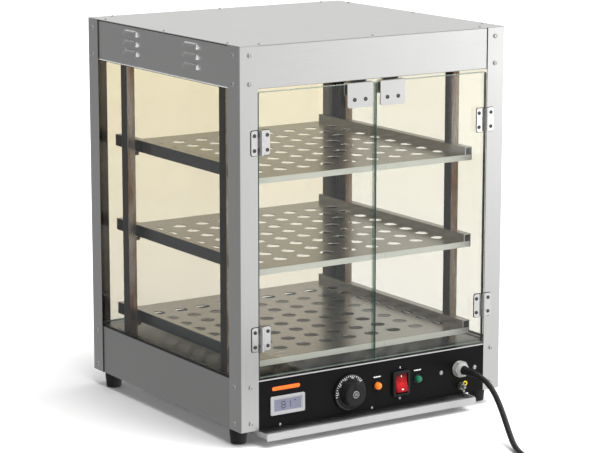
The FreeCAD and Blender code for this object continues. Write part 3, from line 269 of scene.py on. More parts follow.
def deck_steel(name, colour, front):
    """Polished deck sheet, darker in the strip before the shelves."""
    finish = Finish(name)
    grains = finish.grains()
    clouds = finish.noise(22.0, 4, (1, 0.3, 1))
    strip = finish.fade(finish.axis("Y"), -0.148, -0.160)
    shade = finish.blend(strip, colour, finish.shades(clouds, front, 0.5, 1.6))
    shade = finish.blend(grains * 0.25, shade, scaled(colour, 0.5))
    return finish.surface(Base_Color=shade, Metallic=1.0, Roughness=grains * 0.08 + clouds * 0.1 + 0.14,
                          Normal=finish.bump(grains, 0.04, 0.2))


def shelf_steel(name, colour, lip, side):
    """Shelf sheet: the tray itself, its pale front lip and its dark side lips, which mirror the room."""
    finish = Finish(name)
    grains = finish.grains()
    smears = finish.noise(11.0, 4)
    tone = grains * 0.5 + smears * 0.5
    front = finish.fade(finish.axis("Y"), -0.1573, -0.1578)
    left = finish.fade(finish.axis("X"), -0.1586, -0.1592)
    right = finish.fade(finish.axis("X"), 0.1586, 0.1592)
    from_seam = finish.node("ShaderNodeMath", {"operation": "ABSOLUTE"}, {0: finish.axis("X") - 0.031})
    seam = finish.fade(from_seam, 0.0009, 0.0002)
    shade = finish.blend(front, finish.shades(tone, colour, 0.88, 1.08), finish.shades(tone, lip, 0.94, 1.0))
    shade = finish.blend(front * seam * 0.35, shade, scaled(lip, 0.4))
    shade = finish.blend(left + right, shade, finish.shades(tone, side, 0.8, 1.15))
    return finish.surface(Base_Color=shade, Metallic=1.0 - front * 0.75,
                          Roughness=grains * 0.07 + smears * 0.08 + 0.17 + front * 0.2,
                          Normal=finish.bump(grains, 0.04, 0.2))


def polished_metal(name, colour, roughness):
    """Small plated or polished hardware with faint wear."""
    finish = Finish(name)
    wear = finish.noise(420.0, 3)
    smudge = finish.noise(90.0, 2)
    return finish.surface(Base_Color=finish.shades(wear, colour, 0.9, 1.06), Metallic=1.0,
                          Roughness=wear * 0.12 + smudge * 0.08 + (roughness - 0.08),
                          Normal=finish.bump(wear, 0.05, 0.1))


def moulded_plastic(name, colour, roughness, grain=0.12, coat=0.0, sheen=0.4):
    """Injection-moulded plastic with a fine spark-eroded grain."""
    finish = Finish(name)
    pores = finish.noise(1500.0, 2)
    clouds = finish.noise(45.0, 3)
    return finish.surface(Base_Color=finish.shades(clouds, colour, 0.88, 1.12),
                          Roughness=pores * 0.14 + clouds * 0.08 + (roughness - 0.11), Coat_Weight=coat,
                          Specular_IOR_Level=sheen, Normal=finish.bump(pores, grain, 0.2))


def rubber_finish(name, colour, roughness):
    """Dull rubber with fine pores and a little dust."""
    finish = Finish(name)
    pores = finish.noise(1100.0, 3)
    dust = finish.noise(60.0, 4)
    return finish.surface(Base_Color=finish.shades(dust, colour, 0.8, 1.5),
                          Roughness=pores * 0.15 + (roughness - 0.07), Normal=finish.bump(pores, 0.2, 0.3))


def gloss_panel(name, colour):
    """Black gloss lacquer with a faint orange peel."""
    finish = Finish(name)
    peel = finish.noise(260.0, 2)
    haze = finish.noise(14.0, 4)
    return finish.surface(Base_Color=finish.shades(haze, colour, 0.8, 1.5), Roughness=haze * 0.12 + 0.24,
                          Specular_IOR_Level=0.09, Normal=finish.bump(peel, 0.03, 0.3))


def clear_glass(name, high_painted_light, low_painted_light):
    """Float glass: clear head-on, reflective at a glance, and warmed towards its top by painted light from inside: its
    clear colours are painted warm light and shade, not a tint of the glass.
    """
    finish = Finish(name)
    smear = finish.noise(7.0, 4)
    facing = finish.node("ShaderNodeLayerWeight", {}, {"Blend": 0.5}, "Facing")
    height = finish.fade(finish.axis("Z"), 0.08, 0.42)
    through = finish.mix_shaders(height * 0.85 + smear * 0.15, finish.clear(low_painted_light), finish.clear(high_painted_light))
    gloss = finish.principled(Base_Color=(0.9, 0.93, 0.92), Metallic=1.0, Roughness=smear * 0.03 + 0.01)
    return finish.done(finish.mix_shaders(facing ** 5.0 * 0.9 + 0.035, through, gloss))


def ground_edge(name, dark, light):
    """The ground edge of float glass: green near the outer face, and clearer behind it."""
    finish = Finish(name)
    ground = finish.noise(700.0, 2, (1, 1, 0.1))
    solid = finish.principled(Base_Color=finish.blend(ground, dark, light), Roughness=ground * 0.2 + 0.15,
                              Normal=finish.bump(ground, 0.1, 0.1))
    face = DOOR_LEAF[1] * MM
    depth = finish.fade(finish.axis("Y"), face + 1.3 * MM, face + 2.2 * MM)
    return finish.done(finish.mix_shaders(depth * 0.6, solid, finish.clear((0.86, 0.92, 0.89))))


def lamp_lens(name, colour, glow):
    """A ribbed coloured lens that glows."""
    finish = Finish(name)
    ribs = finish.noise(500.0, 2)
    return finish.surface(Base_Color=finish.shades(ribs, colour, 0.75, 1.25), Roughness=ribs * 0.1 + 0.08,
                          Coat_Weight=0.6, Coat_Roughness=0.03, Emission_Strength=glow,
                          Emission_Color=finish.shades(ribs, colour, 0.8, 1.1), Normal=finish.bump(ribs, 0.12, 0.3))


def lit_diffuser(name, colour, strength):
    """The prismatic cover of the light under the ceiling."""
    finish = Finish(name)
    prisms = finish.noise(300.0, 1, (0.1, 1, 1))
    shade = finish.shades(prisms, colour, 0.85, 1.0)
    return finish.surface(Base_Color=shade, Roughness=0.4, Emission_Color=shade, Emission_Strength=strength,
                          Normal=finish.bump(prisms, 0.2, 0.5))


def lit_rocker(name, colour, centre):
    """Translucent red plastic, lit from inside about its middle."""
    finish = Finish(name)
    away = finish.node("ShaderNodeVectorMath", {"operation": "DISTANCE"}, {0: finish.place, 1: centre}, 1)
    heart = finish.fade(away, 0.014, 0.001)
    swirl = finish.noise(260.0, 2)
    return finish.surface(Base_Color=finish.shades(heart, colour, 0.25, 1.1), Roughness=swirl * 0.2 + 0.16,
                          Coat_Weight=0.12, Coat_Roughness=0.1, Specular_IOR_Level=0.18, Emission_Strength=0.8,
                          Emission_Color=finish.blend(heart * swirl, (0.006, 0.0, 0.0), (1.0, 0.02, 0.03)),
                          Normal=finish.bump(swirl, 0.04, 0.2))


def lead_jacket(name):
    """Soft black cable jacket with the lay of its cores showing faintly."""
    finish = Finish(name)
    pores = finish.noise(1300.0, 2)
    lay = finish.noise(160.0, 2)
    return finish.surface(Base_Color=finish.blend(lay, (0.008, 0.008, 0.008), (0.02, 0.02, 0.021)),
                          Roughness=pores * 0.15 + 0.32, Normal=finish.bump(lay, 0.15, 0.3))


FINISHES = {}


# ---------------------------------------------------------------- modelling

def mm(*numbers):
    return Vector([number * MM for number in numbers])


def low_high(node):
    return tuple(Vector(corner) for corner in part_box(node))


def moved(x, y, z=0.0):
    return Matrix.Translation(mm(x, y, z))


def turned(angle, axis="Z"):
    return Matrix.Rotation(math.radians(angle), 4, axis)


FACE = {"front": turned(90, "X"), "rear": turned(-90, "X"), "left": turned(-90, "Y"), "right": turned(90, "Y"),
        "up": Matrix.Identity(4)}
PARALLEL = 0.99      # the least cosine that counts as the same direction


def at(x, y, z, face="up", turn=0.0):
    """Puts a shape drawn along +Z at a place, looking out of a face."""
    return moved(x, y, z) @ FACE[face] @ turned(turn)


def on_panel(spot):
    return at(spot[0], PANEL, spot[1], "front")


def lying(inward, run):
    """Turns an outline so that its x runs inward, its y up and its length along the run."""
    return Matrix((inward, (0, 0, 1), run)).transposed().to_4x4()


def sided(sign, inner, outer, front, back, low, high):
    """Two corners of a block on one side of the case, in metres; inner and outer are distances from its middle."""
    near, far = sorted((sign * inner, sign * outer))
    return mm(near, front, low), mm(far, back, high)


def centred(spot, half_width, half_height, front, back):
    """Two corners of a block centred on a place on the panel, in metres; front and back are from its face."""
    x, z = spot
    return (mm(x - half_width, PANEL + front, z - half_height),
            mm(x + half_width, PANEL + back, z + half_height))


def round_edges(bm, edges, width, segments=3):
    bmesh.ops.bevel(bm, geom=list(edges), offset=width, offset_type="OFFSET", affect="EDGES",
                    segments=segments, profile=0.5, material=-1, clamp_overlap=True)


def box(low, high, edge=0.0):
    """A block between two corners in metres, its edges rounded."""
    bm = bmesh.new()
    bmesh.ops.create_cube(bm, size=1.0)
    bmesh.ops.scale(bm, vec=high - low, verts=bm.verts)
    bmesh.ops.translate(bm, vec=(low + high) / 2, verts=bm.verts)
    if edge:
        round_edges(bm, bm.edges, edge, 2)
    return bm


def along(edge, axis):
    direction = (edge.verts[1].co - edge.verts[0].co).normalized()
    return abs(direction[axis]) > PARALLEL


def plate(low, high, thin_axis, corner, edge=0.0, corner_segments=6):
    """A flat plate with rounded corners and softened rims."""
    bm = box(low, high)
    round_edges(bm, [e for e in bm.edges if along(e, thin_axis)], corner, corner_segments)
    if edge:
        middle = (low[thin_axis] + high[thin_axis]) / 2
        rims = [e for e in bm.edges
                if (e.verts[0].co[thin_axis] - middle) * (e.verts[1].co[thin_axis] - middle) > 0
                and abs(e.verts[0].co[thin_axis] - e.verts[1].co[thin_axis]) < 1e-7
                and any(abs(f.normal[thin_axis]) < 0.5 for f in e.link_faces)]
        round_edges(bm, rims, edge, 2)
    return bm


def lathe(profile, steps=48):
    """A turned solid from (radius, height) in mm, closed on its axis."""
    bm = bmesh.new()
    spots = [bm.verts.new(mm(radius, 0, height)) for radius, height in profile]
    for first, second in zip(spots, spots[1:]):
        bm.edges.new((first, second))
    bmesh.ops.spin(bm, geom=bm.verts[:] + bm.edges[:], cent=(0, 0, 0), axis=(0, 0, 1),
                   angle=math.radians(360), steps=steps, use_merge=True)
    bmesh.ops.remove_doubles(bm, verts=bm.verts, dist=1e-6)
    bmesh.ops.dissolve_degenerate(bm, edges=bm.edges, dist=1e-7)
    bmesh.ops.recalc_face_normals(bm, faces=bm.faces)
    return bm


def prism(corners, height):
    """A straight prism over corners in mm in the XY plane."""
    bm = bmesh.new()
    face = bm.faces.new([bm.verts.new(mm(x, y, 0)) for x, y in corners])
    grown = bmesh.ops.extrude_face_region(bm, geom=[face])
    top = [item for item in grown["geom"] if isinstance(item, bmesh.types.BMVert)]
    bmesh.ops.translate(bm, vec=mm(0, 0, height), verts=top)
    bmesh.ops.recalc_face_normals(bm, faces=bm.faces)
    return bm


def folded_sheet(corners, height, bends, bend, edge):
    """A folded sheet: an outline in mm extruded along +Z, rounded where it bends."""
    bm = prism(corners, height)
    folds = [e for e in bm.edges if along(e, 2)
             and any((e.verts[0].co.xy - mm(*spot)).length < 1e-6 for spot in bends)]
    round_edges(bm, folds, bend, 4)
    if edge:
        rims = [e for e in bm.edges if not along(e, 2)
                and all(min(abs(v.co.z), abs(v.co.z - height * MM)) < 1e-7 for v in e.verts)]
        round_edges(bm, rims, edge, 1)
    return bm


def side_sheet(sign, outline, fold, bend, edge, low):
    """A folded sheet along one side of the case, between its posts."""
    bm = folded_sheet(outline, SIDE_RUN, [fold], bend, edge)
    return placed(bm, moved(sign * SKIN, -SIDE_RUN / 2, low) @ lying((-sign, 0, 0), (0, 1, 0)))


def merge(shapes):
    """Several bmeshes in one."""
    whole = bmesh.new()
    for shape in shapes:
        scrap = bpy.data.meshes.new("scrap")
        shape.to_mesh(scrap)
        shape.free()
        whole.from_mesh(scrap)
        bpy.data.meshes.remove(scrap)
    return whole


def placed(bm, matrix):
    bmesh.ops.transform(bm, matrix=matrix, verts=bm.verts)
    if matrix.determinant() < 0:
        bmesh.ops.reverse_faces(bm, faces=bm.faces)
    return bm


def scattered(seed, places):
    """Copies of a seed at each place, in one bmesh."""
    whole = merge([placed(seed.copy(), place) for place in places])
    seed.free()
    return whole


def painted(bm, index):
    for face in bm.faces:
        face.material_index = index
    return bm


def evaluated_mesh(item):
    bpy.context.view_layer.update()
    return bpy.data.meshes.new_from_object(item.evaluated_get(bpy.context.evaluated_depsgraph_get()))


def read_and_removed(mesh):
    bm = bmesh.new()
    bm.from_mesh(mesh)
    bpy.data.meshes.remove(mesh)
    return bm


def carved(bm, cutters):
    """The shape less its cutters."""
    holder = loose_object("carving", bm)
    knives = [loose_object("cutter", cutter) for cutter in cutters]
    for knife in knives:
        taking = holder.modifiers.new("take", "BOOLEAN")
        taking.operation = "DIFFERENCE"
        taking.solver = "EXACT"
        taking.object = knife
    done = read_and_removed(evaluated_mesh(holder))
    for item in [holder, *knives]:
        mesh = item.data
        bpy.data.objects.remove(item)
        bpy.data.meshes.remove(mesh)
    return done


def loose_object(name, bm):
    mesh = bpy.data.meshes.new(name)
    bm.to_mesh(mesh)
    bm.free()
    item = bpy.data.objects.new(name, mesh)
    bpy.context.scene.collection.objects.link(item)
    return item


def piece(name, bm, body, finishes, node=None, slot=None, smooth=35):
    """Turns a bmesh into a finished piece that rides on a body and may stand for a node of the frame."""
    item = loose_object(name, bm)
    for finish in finishes.split():
        item.data.materials.append(FINISHES[finish])
    item.data.shade_smooth()
    item.data.set_sharp_from_angle(angle=math.radians(smooth))
    item.modifiers.new("even", "WEIGHTED_NORMAL").keep_sharp = True
    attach(item, body)
    if node:
        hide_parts(node)
    return item


def screw_head(radius, rise):
    """A domed head with a cross recess, looking along +Z."""
    dome = lathe([(0, -0.6), (radius, -0.6), (radius, 0.12 * rise), (radius * 0.94, rise * 0.42),
                  (radius * 0.78, rise * 0.74), (radius * 0.5, rise * 0.94), (0, rise)], 24)
    slot, reach, floor = radius * 0.19, radius * 0.62, rise * 0.35
    return carved(dome, [box(mm(-x, -y, floor), mm(x, y, rise + 1)) for x, y in ((reach, slot), (slot, reach))])


def lettering(text, height):
    """Flat figures as a bmesh in the XY plane, centred, height in mm."""
    curve = bpy.data.curves.new("figures", "FONT")
    curve.body = text
    curve.size = height * MM / 0.7
    curve.align_x = "CENTER"
    curve.align_y = "CENTER"
    curve.extrude = 0.04 * MM
    curve.resolution_u = 2
    writer = bpy.data.objects.new("figures", curve)
    bpy.context.scene.collection.objects.link(writer)
    bm = read_and_removed(evaluated_mesh(writer))
    bpy.data.objects.remove(writer)
    bpy.data.curves.remove(curve)
    return bm


# ---------------------------------------------------------------- operators

class CASE_OT_finishes(bpy.types.Operator):
    """Every finish of the case"""
    bl_idname = "display_case.finishes"
    bl_label = "Finishes"

    def execute(self, context):
        colours = context.scene.case_colours
        steel = tuple(colours.steel)
        table = (
            (brushed_steel, (
                ("steel_upright", steel, "z", 0.3), ("steel_across", steel, "x", 0.3), ("steel_deep", steel, "y", 0.3),
                ("steel_base", scaled(steel, 0.8), "y", 0.3), ("steel_hidden", scaled(steel, 0.8), "x", 0.38),
                # The second steel on the next line, pale 0.9, is a painted highlight on the lit tops and front ends of
                # the louvres and along the side headers' lower edge.
                ("steel_tray", (0.50, 0.50, 0.50), "x", 0.5, 0.35), ("steel_lip", (0.9, 0.9, 0.9), "x", 0.45, 0.3),
                # The nearly black steel on the next line is a painted dark reflection on the rails' side faces; the
                # heating element wears it too.
                ("steel_rail_side", (0.04, 0.042, 0.042), "z", 0.3),
                # The dark brown steel on the next line is painted warm shade on the rear posts' faces inside the case.
                ("steel_inner", (0.19, 0.155, 0.135), "z", 0.3))),
            (shelf_steel, (("steel_shelf", (0.74, 0.72, 0.68), (0.50, 0.51, 0.45), (0.12, 0.13, 0.14)),)),
            (deck_steel, (("steel_deck", (0.34, 0.335, 0.325), (0.085, 0.085, 0.087)),)),
            (rail_steel, (("steel_rail", (0.42, 0.37, 0.31), (0.26, 0.14, 0.07)),)),
            (polished_metal, (
                ("bright", (0.83, 0.83, 0.82), 0.16), ("plated", (0.72, 0.72, 0.71), 0.26),
                ("dark_screw", (0.20, 0.20, 0.20), 0.22), ("terminal_metal", (0.42, 0.41, 0.38), 0.3))),
            (gloss_panel, (("panel", tuple(colours.panel)),)),
            (moulded_plastic, (
                ("knob", (0.012, 0.012, 0.013), 0.34, 0.12, 0.0, 0.22),
                ("black_plastic", (0.012, 0.012, 0.013), 0.3, 0.12, 0.0, 0.25),
                ("silver_plastic", (0.36, 0.36, 0.37), 0.24, 0.05, 0.3), ("gland_plastic", (0.34, 0.34, 0.33), 0.3),
                ("block_plastic", (0.75, 0.74, 0.70), 0.45), ("yellow_plastic", (0.80, 0.62, 0.02), 0.4),
                ("print_white", (0.82, 0.82, 0.80), 0.5, 0.05), ("print_grey", (0.10, 0.10, 0.10), 0.5, 0.05),
                ("print_accent", tuple(colours.accent), 0.45, 0.05), ("print_dark", (0.02, 0.025, 0.03), 0.5, 0.05),
                ("screen", (0.17, 0.175, 0.235), 0.3, 0.03, 0.2))),
            # Besides the magnets, the black magnet finish paints shadow along the front posts' flange edges, on the
            # right door's glass edge and round the hinge leaves; it also darkens the seal strips at the glass seams.
            (rubber_finish, (("rubber", (0.008, 0.008, 0.008), 0.6), ("magnet", (0.01, 0.01, 0.01), 0.55))),
            (lead_jacket, (("lead",),)),
            (lamp_lens, (("amber_lens", tuple(colours.amber), 0.35), ("green_lens", tuple(colours.green), 0.12))),
            (lit_rocker, (("rocker", tuple(colours.rocker), tuple(mm(SWITCH[0], -184, SWITCH[1] - 2))),)),
            (lit_diffuser, (("diffuser", tuple(colours.glow), 2.0),)),
            # The clear colours below are painted warm light and shade from inside the case, strongest on the right and
            # rear glass.
            (clear_glass, (
                ("glass_left", (0.99, 0.985, 0.965), (0.985, 0.985, 0.975)),
                ("glass_right", (0.765, 0.745, 0.665), (0.77, 0.76, 0.725)),
                ("glass_rear", (0.765, 0.72, 0.592), (0.724, 0.702, 0.65)),
                ("glass_door", (0.992, 0.992, 0.985), (0.985, 0.988, 0.985)))),
            (ground_edge, (
                ("glass_edge", (0.015, 0.045, 0.036), (0.05, 0.13, 0.10)),
                ("glass_rim", (0.30, 0.36, 0.33), (0.50, 0.56, 0.53)))),
        )
        for maker, rows in table:
            for name, *settings in rows:
                FINISHES[name] = maker(name, *settings)
        dressed = {"steel_hidden": ("bottom_plate", "ceiling_panel", "heater_brackets"),
                   "steel_rail_side": ("heating_element",), "steel_deck": ("deck_plate",),
                   "steel_shelf": ("shelf_upper", "shelf_middle", "shelf_lower"),
                   "black_plastic": ("thermostat_body",), "block_plastic": ("terminal_block",),
                   "plated": ("thermostat_shaft",), "diffuser": ("ceiling_light",), "panel": ("control_panel",)}
        for finish, nodes in dressed.items():
            for node in nodes:
                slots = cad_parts[node].data.materials
                slots.clear()
                slots.append(FINISHES[finish])
        return {"FINISHED"}


class CASE_OT_camera_and_light(bpy.types.Operator):
    """Camera, soft lights and the pale floor"""
    bl_idname = "display_case.camera_and_light"
    bl_label = "Stage"

    def execute(self, context):
        scene = context.scene
        camera = bpy.data.cameras.new("view")
        camera.lens = 142.03
        camera.sensor_width = 36
        camera.clip_end = 100
        azimuth, elevation, distance = math.radians(-33.10), math.radians(11.303), 3.0063
        target = mm(13.28, -0.3, 214.77)
        out = Vector((math.sin(azimuth) * math.cos(elevation), -math.cos(azimuth) * math.cos(elevation),
                      math.sin(elevation)))
        scene.camera = self.aimed("view", camera, target + out * distance, -out)
        scene.view_settings.view_transform = "Standard"
        self.floor()
        self.lights()
        self.surroundings(scene)
        return {"FINISHED"}

    def aimed(self, name, data, place, towards):
        """A camera or light at a place in metres, looking along a direction."""
        item = bpy.data.objects.new(name, data)
        item.location = place
        item.rotation_euler = towards.to_track_quat("-Z", "Y").to_euler()
        bpy.context.scene.collection.objects.link(item)
        return item

    def floor(self):
        finish = Finish("studio_floor")
        shade = finish.blend(finish.noise(3.0, 2), (0.93, 0.93, 0.93), (0.96, 0.96, 0.96))
        bm = bmesh.new()
        bmesh.ops.create_grid(bm, x_segments=1, y_segments=1, size=30.0)
        floor = loose_object("floor", bm)
        floor.data.materials.append(finish.surface(Base_Color=shade, Roughness=0.9))
        floor.visible_glossy = False

    def lights(self):
        """The key light stays out of reflections, so the sheets don't burn out."""
        middle = Vector((0, 0, 0.24))
        key = bpy.data.lights.new("key", "SUN")
        key.energy = 4.4
        key.angle = math.radians(60.0)
        place = Vector((1.5, -2.5, 6.0))
        self.aimed("key", key, place, middle - place).visible_glossy = False
        for name, place, power, size in (("front", (3.0, -2.9, 0.35), 8.5, 1.4), ("left", (-3.2, -0.6, 1.2), 6.0, 1.6)):
            light = bpy.data.lights.new(name, "AREA")
            light.energy = power
            light.shape = "SQUARE"
            light.size = size
            self.aimed(name, light, place, middle - Vector(place))

    def surroundings(self, scene):
        """A room that is dark on the left and pale on the right, for the steel to mirror."""
        scene.world = bpy.data.worlds.new("studio")
        nodes = Nodes(scene.world, "ShaderNodeOutputWorld")
        across = nodes.node("ShaderNodeSeparateXYZ", {}, {"Vector": nodes.places["Generated"]})
        spread = nodes.node("ShaderNodeMapRange", {}, {"Value": across, "From Min": -1, "From Max": 1})
        stops = ((0.22, (0.27, 0.27, 0.272)), (0.74, (0.86, 0.86, 0.858)))
        shade = nodes.node("ShaderNodeValToRGB", {"eased_stops": stops}, {0: spread})
        nodes.finish(nodes.node("ShaderNodeBackground", {}, {"Color": shade, "Strength": 1.0}))


def coil_spot(angle, reach, height):
    turn = math.radians(-angle)
    return COIL_CENTRE[0] + reach * math.cos(turn), COIL_CENTRE[1] + reach * math.sin(turn), height


def coil_spots():
    """The coil's turns, clockwise from where the lead comes in, as points in mm."""
    spots = []
    last = len(COIL_LAYS) - 1
    for number, (radius, height) in enumerate(COIL_LAYS):
        next_radius, next_height = COIL_LAYS[min(number + 1, last)]
        for angle in range(0 if number else COIL_STEP, COIL_END if number == last else 360, COIL_STEP):
            shift = min(1, max(0, (angle - 300) / 60))
            climb = min(1, max(0, (angle - 230) / 70))
            reach = (radius + (next_radius - radius) * shift) / math.cos(math.radians(COIL_STEP / 2))
            spots.append(coil_spot(angle, reach, height + (next_height - height) * climb))
    return spots + [coil_spot(COIL_END, *COIL_TAIL)]


class CASE_OT_lead(bpy.types.Operator):
    """Mains lead with its coil, sleeve and plug"""
    bl_idname = "display_case.lead"
    bl_label = "Mains lead"

    def execute(self, context):
        sizes = context.scene.case_sizes
        plug = self.plug()
        self.sleeve()
        curve = bpy.data.curves.new("mains_lead", "CURVE")
        curve.dimensions = "3D"
        curve.bevel_depth = sizes.lead_diameter / 2
        curve.bevel_resolution = 6
        curve.use_fill_caps = True
        curve.resolution_u = 6
        spots = list(LEAD_ROUTE) + coil_spots()
        line = curve.splines.new("NURBS")
        line.points.add(len(spots) - 1)
        for point, spot in zip(line.points, spots):
            point.co = (*mm(*spot), 1)
        line.order_u = 3
        line.use_endpoint_u = True
        curve.materials.append(FINISHES["lead"])
        lead = bpy.data.objects.new("mains_lead", curve)
        context.scene.collection.objects.link(lead)
        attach(lead, "case")
        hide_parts("cord", "cord_coil")
        tuple(mm(*LEAD_ROUTE[0]))
        return {"FINISHED"}

    def plug(self):
        """A moulded three-pin plug, drawn along +X and turned to leave the coil."""
        tail = [lathe([(0, -1), (4.0, -1), (4.2, 4), (5.0, 18), (6.4, 30), (0, 30)], 28)]
        tail += [lathe([(3.6, low), (5.6, low + 0.4), (5.8, low + 2.2), (3.6, low + 2.6)], 28)
                 for low in (3, 8, 13, 18)]
        tail = placed(merge(tail), at(0, 0, 12, "right"))
        neck = plate(mm(26, -9, 3.5), mm(42, 9, 20.5), 0, 6 * MM, 1 * MM)
        grip = plate(mm(38, -13, 0.4), mm(60, 13, 23.6), 0, 6.5 * MM, 1.6 * MM)
        grooves = [box(mm(spot, -13.4, 5), mm(spot + 1.4, 13.4, 19), 0.5 * MM) for spot in (43, 47, 51)]
        pins = [plate(mm(59, side - 0.75, 8.8), mm(76, side + 0.75, 15.2), 1, 1.5 * MM, 0.2 * MM)
                for side in (-6.35, 6.35)]
        pins.append(placed(lathe([(0, 0), (2.4, 0), (2.4, 16), (1.6, 18.6), (0, 19)], 20), at(59, 0, 20.4, "right")))
        whole = merge([tail, neck, grip, *grooves, painted(merge(pins), 1)])
        placed(whole, at(43.2, -488.9, 0, turn=-123.1))
        return piece("plug_moulded", whole, "case", "black_plastic bright", "plug", "cord_black")

    def sleeve(self):
        """The tapered rubber sleeve on the gland, with its flex rings."""
        core = lathe([(0, 10.4), (5.2, 10.4), (5.0, 12.5), (4.3, 26), (3.75, 33.5), (3.6, 34), (0, 34)], 32)
        rings = []
        for low in (13, 16.5, 20, 23.5, 27):
            taper = 0.055 * (low - 12)
            rings.append(lathe([(3.4, low), (5.25 - taper, low + 0.3), (5.2 - taper, low + 1.9), (3.4, low + 2.2)], 32))
        piece("lead_sleeve", placed(merge([core, *rings]), on_panel(GLAND)), "case", "rubber", "strain_relief",
              "cord_black")


class CASE_OT_posts(bpy.types.Operator):
    """Four folded corner posts"""
    bl_idname = "display_case.posts"
    bl_label = "Corner posts"

    def execute(self, context):
        sizes = context.scene.case_sizes
        wide, thin = POST_FLANGE, POST_GAUGE
        outline = [(0, 0), (wide, 0), (wide, thin), (thin, thin), (thin, wide), (0, wide)]
        flange_edge = (HALF_WIDTH - wide) * MM
        for side, across in SIDES:
            for end, back in ENDS:
                bm = folded_sheet(outline, POST_LENGTH, [(0, 0)], sizes.sheet_bend, sizes.sheet_edge)
                placed(bm, moved(across * HALF_WIDTH, back * HALF_DEPTH, FOOT)
                       @ Matrix.Diagonal((-across, -back, 1, 1)))
                for face in bm.faces:
                    on_edge = abs(abs(face.calc_center_median().x) - flange_edge) < 0.3 * MM
                    # Rear posts' front-facing faces get the dark brown steel: painted warm shade inside the case.
                    if back > 0 and face.normal.y < -0.7:
                        face.material_index = 1
                    # Front posts' flange edges by the doors get the black magnet finish: a painted shadow in the gap
                    # beside the door glass.
                    elif back < 0 and abs(face.normal.x) > 0.9 and on_edge:
                        face.material_index = 2
                piece(f"post_{end}_{side}_folded", bm, "case", "steel_upright steel_inner magnet",
                      f"post_{end}_{side}", "steel")
        return {"FINISHED"}


class CASE_OT_headers(bpy.types.Operator):
    """Header channels with the side louvres"""
    bl_idname = "display_case.headers"
    bl_label = "Headers"

    def execute(self, context):
        sizes = context.scene.case_sizes
        bend = sizes.sheet_bend * 0.7
        outline = [(0, 0), (0, 50), (12, 50), (12, 49), (1, 49), (1, 1), (10, 1), (10, 0)]
        for end, back in ENDS:
            bm = folded_sheet(outline, 375.2, [(0, 0), (0, 50)], bend, sizes.sheet_edge)
            placed(bm, moved(-187.6, back * 179.8, HEADER_LOW) @ lying((0, -back, 0), (1, 0, 0)))
            piece(f"header_{end}_folded", bm, "case", "steel_across", f"header_{end}", "steel")
        outline = [(0, 0.2), (0, 49), (12, 49), (12, 48), (1, 48), (1, 2.2), (10, 2.2), (10, 1.2), (1, 1.2), (1, 0.2)]
        spots = [(group * 72, 450 + step * 12) for group in (-1, 1) for step in (-1, 0, 1)]
        for side, across in SIDES:
            bm = side_sheet(across, outline, (0, 49), bend, 0, HEADER_LOW)
            opened = carved(bm, [box(*sided(across, 186.4, 190.4, spot - 17, spot + 17, level + 0.1, level + 2.6))
                                 for spot, level in spots])
            hoods = merge([placed(self.hood(), moved(across * 188.75, spot, level)
                                  @ Matrix.Diagonal((across, 1, 1, 1))) for spot, level in spots])
            # Louvre faces turned up or to the front get the pale steel: a painted highlight.
            for face in hoods.faces:
                if face.normal.y < -0.45 or face.normal.z > 0.72:
                    face.material_index = 1
            # A thin strip of pale steel along the header's lower outer edge: a painted highlight.
            trim = plate(*sided(across, 188.7, 188.95, -175.5, 175.5, 424.2, 425.3), 0, 0.1 * MM)
            # A dark seal strip under the header, which also stands in for the shadow in the seam.
            seal_and_shade_strip = box(*sided(across, 184, 188.2, -175.5, 174, 423.55, 424.15))
            piece(f"header_{side}_louvred", merge([opened, hoods, painted(trim, 1), painted(seal_and_shade_strip, 2)]), "case",
                  "steel_deep steel_lip magnet", f"header_{side}", "steel")
        return {"FINISHED"}

    def hood(self):
        """One pressed louvre: the upper outer quarter of a blister, open along its lower edge."""
        bm = bmesh.new()
        bmesh.ops.create_uvsphere(bm, u_segments=32, v_segments=16, radius=4.1 * MM)
        bmesh.ops.rotate(bm, cent=(0, 0, 0), matrix=Matrix.Rotation(math.radians(90), 3, "X"), verts=bm.verts)
        bmesh.ops.scale(bm, vec=(1.0, 1.9, 1.75), verts=bm.verts)
        for sign in (-1, 1):
            ends = [v for v in bm.verts if v.co.y * sign > 1e-6]
            bmesh.ops.translate(bm, vec=mm(0, sign * 10.7, 0), verts=ends)
        for outward in ((0, 0, -1), (-1, 0, 0)):
            bmesh.ops.bisect_plane(bm, geom=bm.verts[:] + bm.edges[:] + bm.faces[:], plane_co=(0, 0, 0),
                                   plane_no=outward, clear_outer=True)
        bmesh.ops.recalc_face_normals(bm, faces=bm.faces)
        bmesh.ops.solidify(bm, geom=bm.faces[:], thickness=0.7 * MM)
        return bm


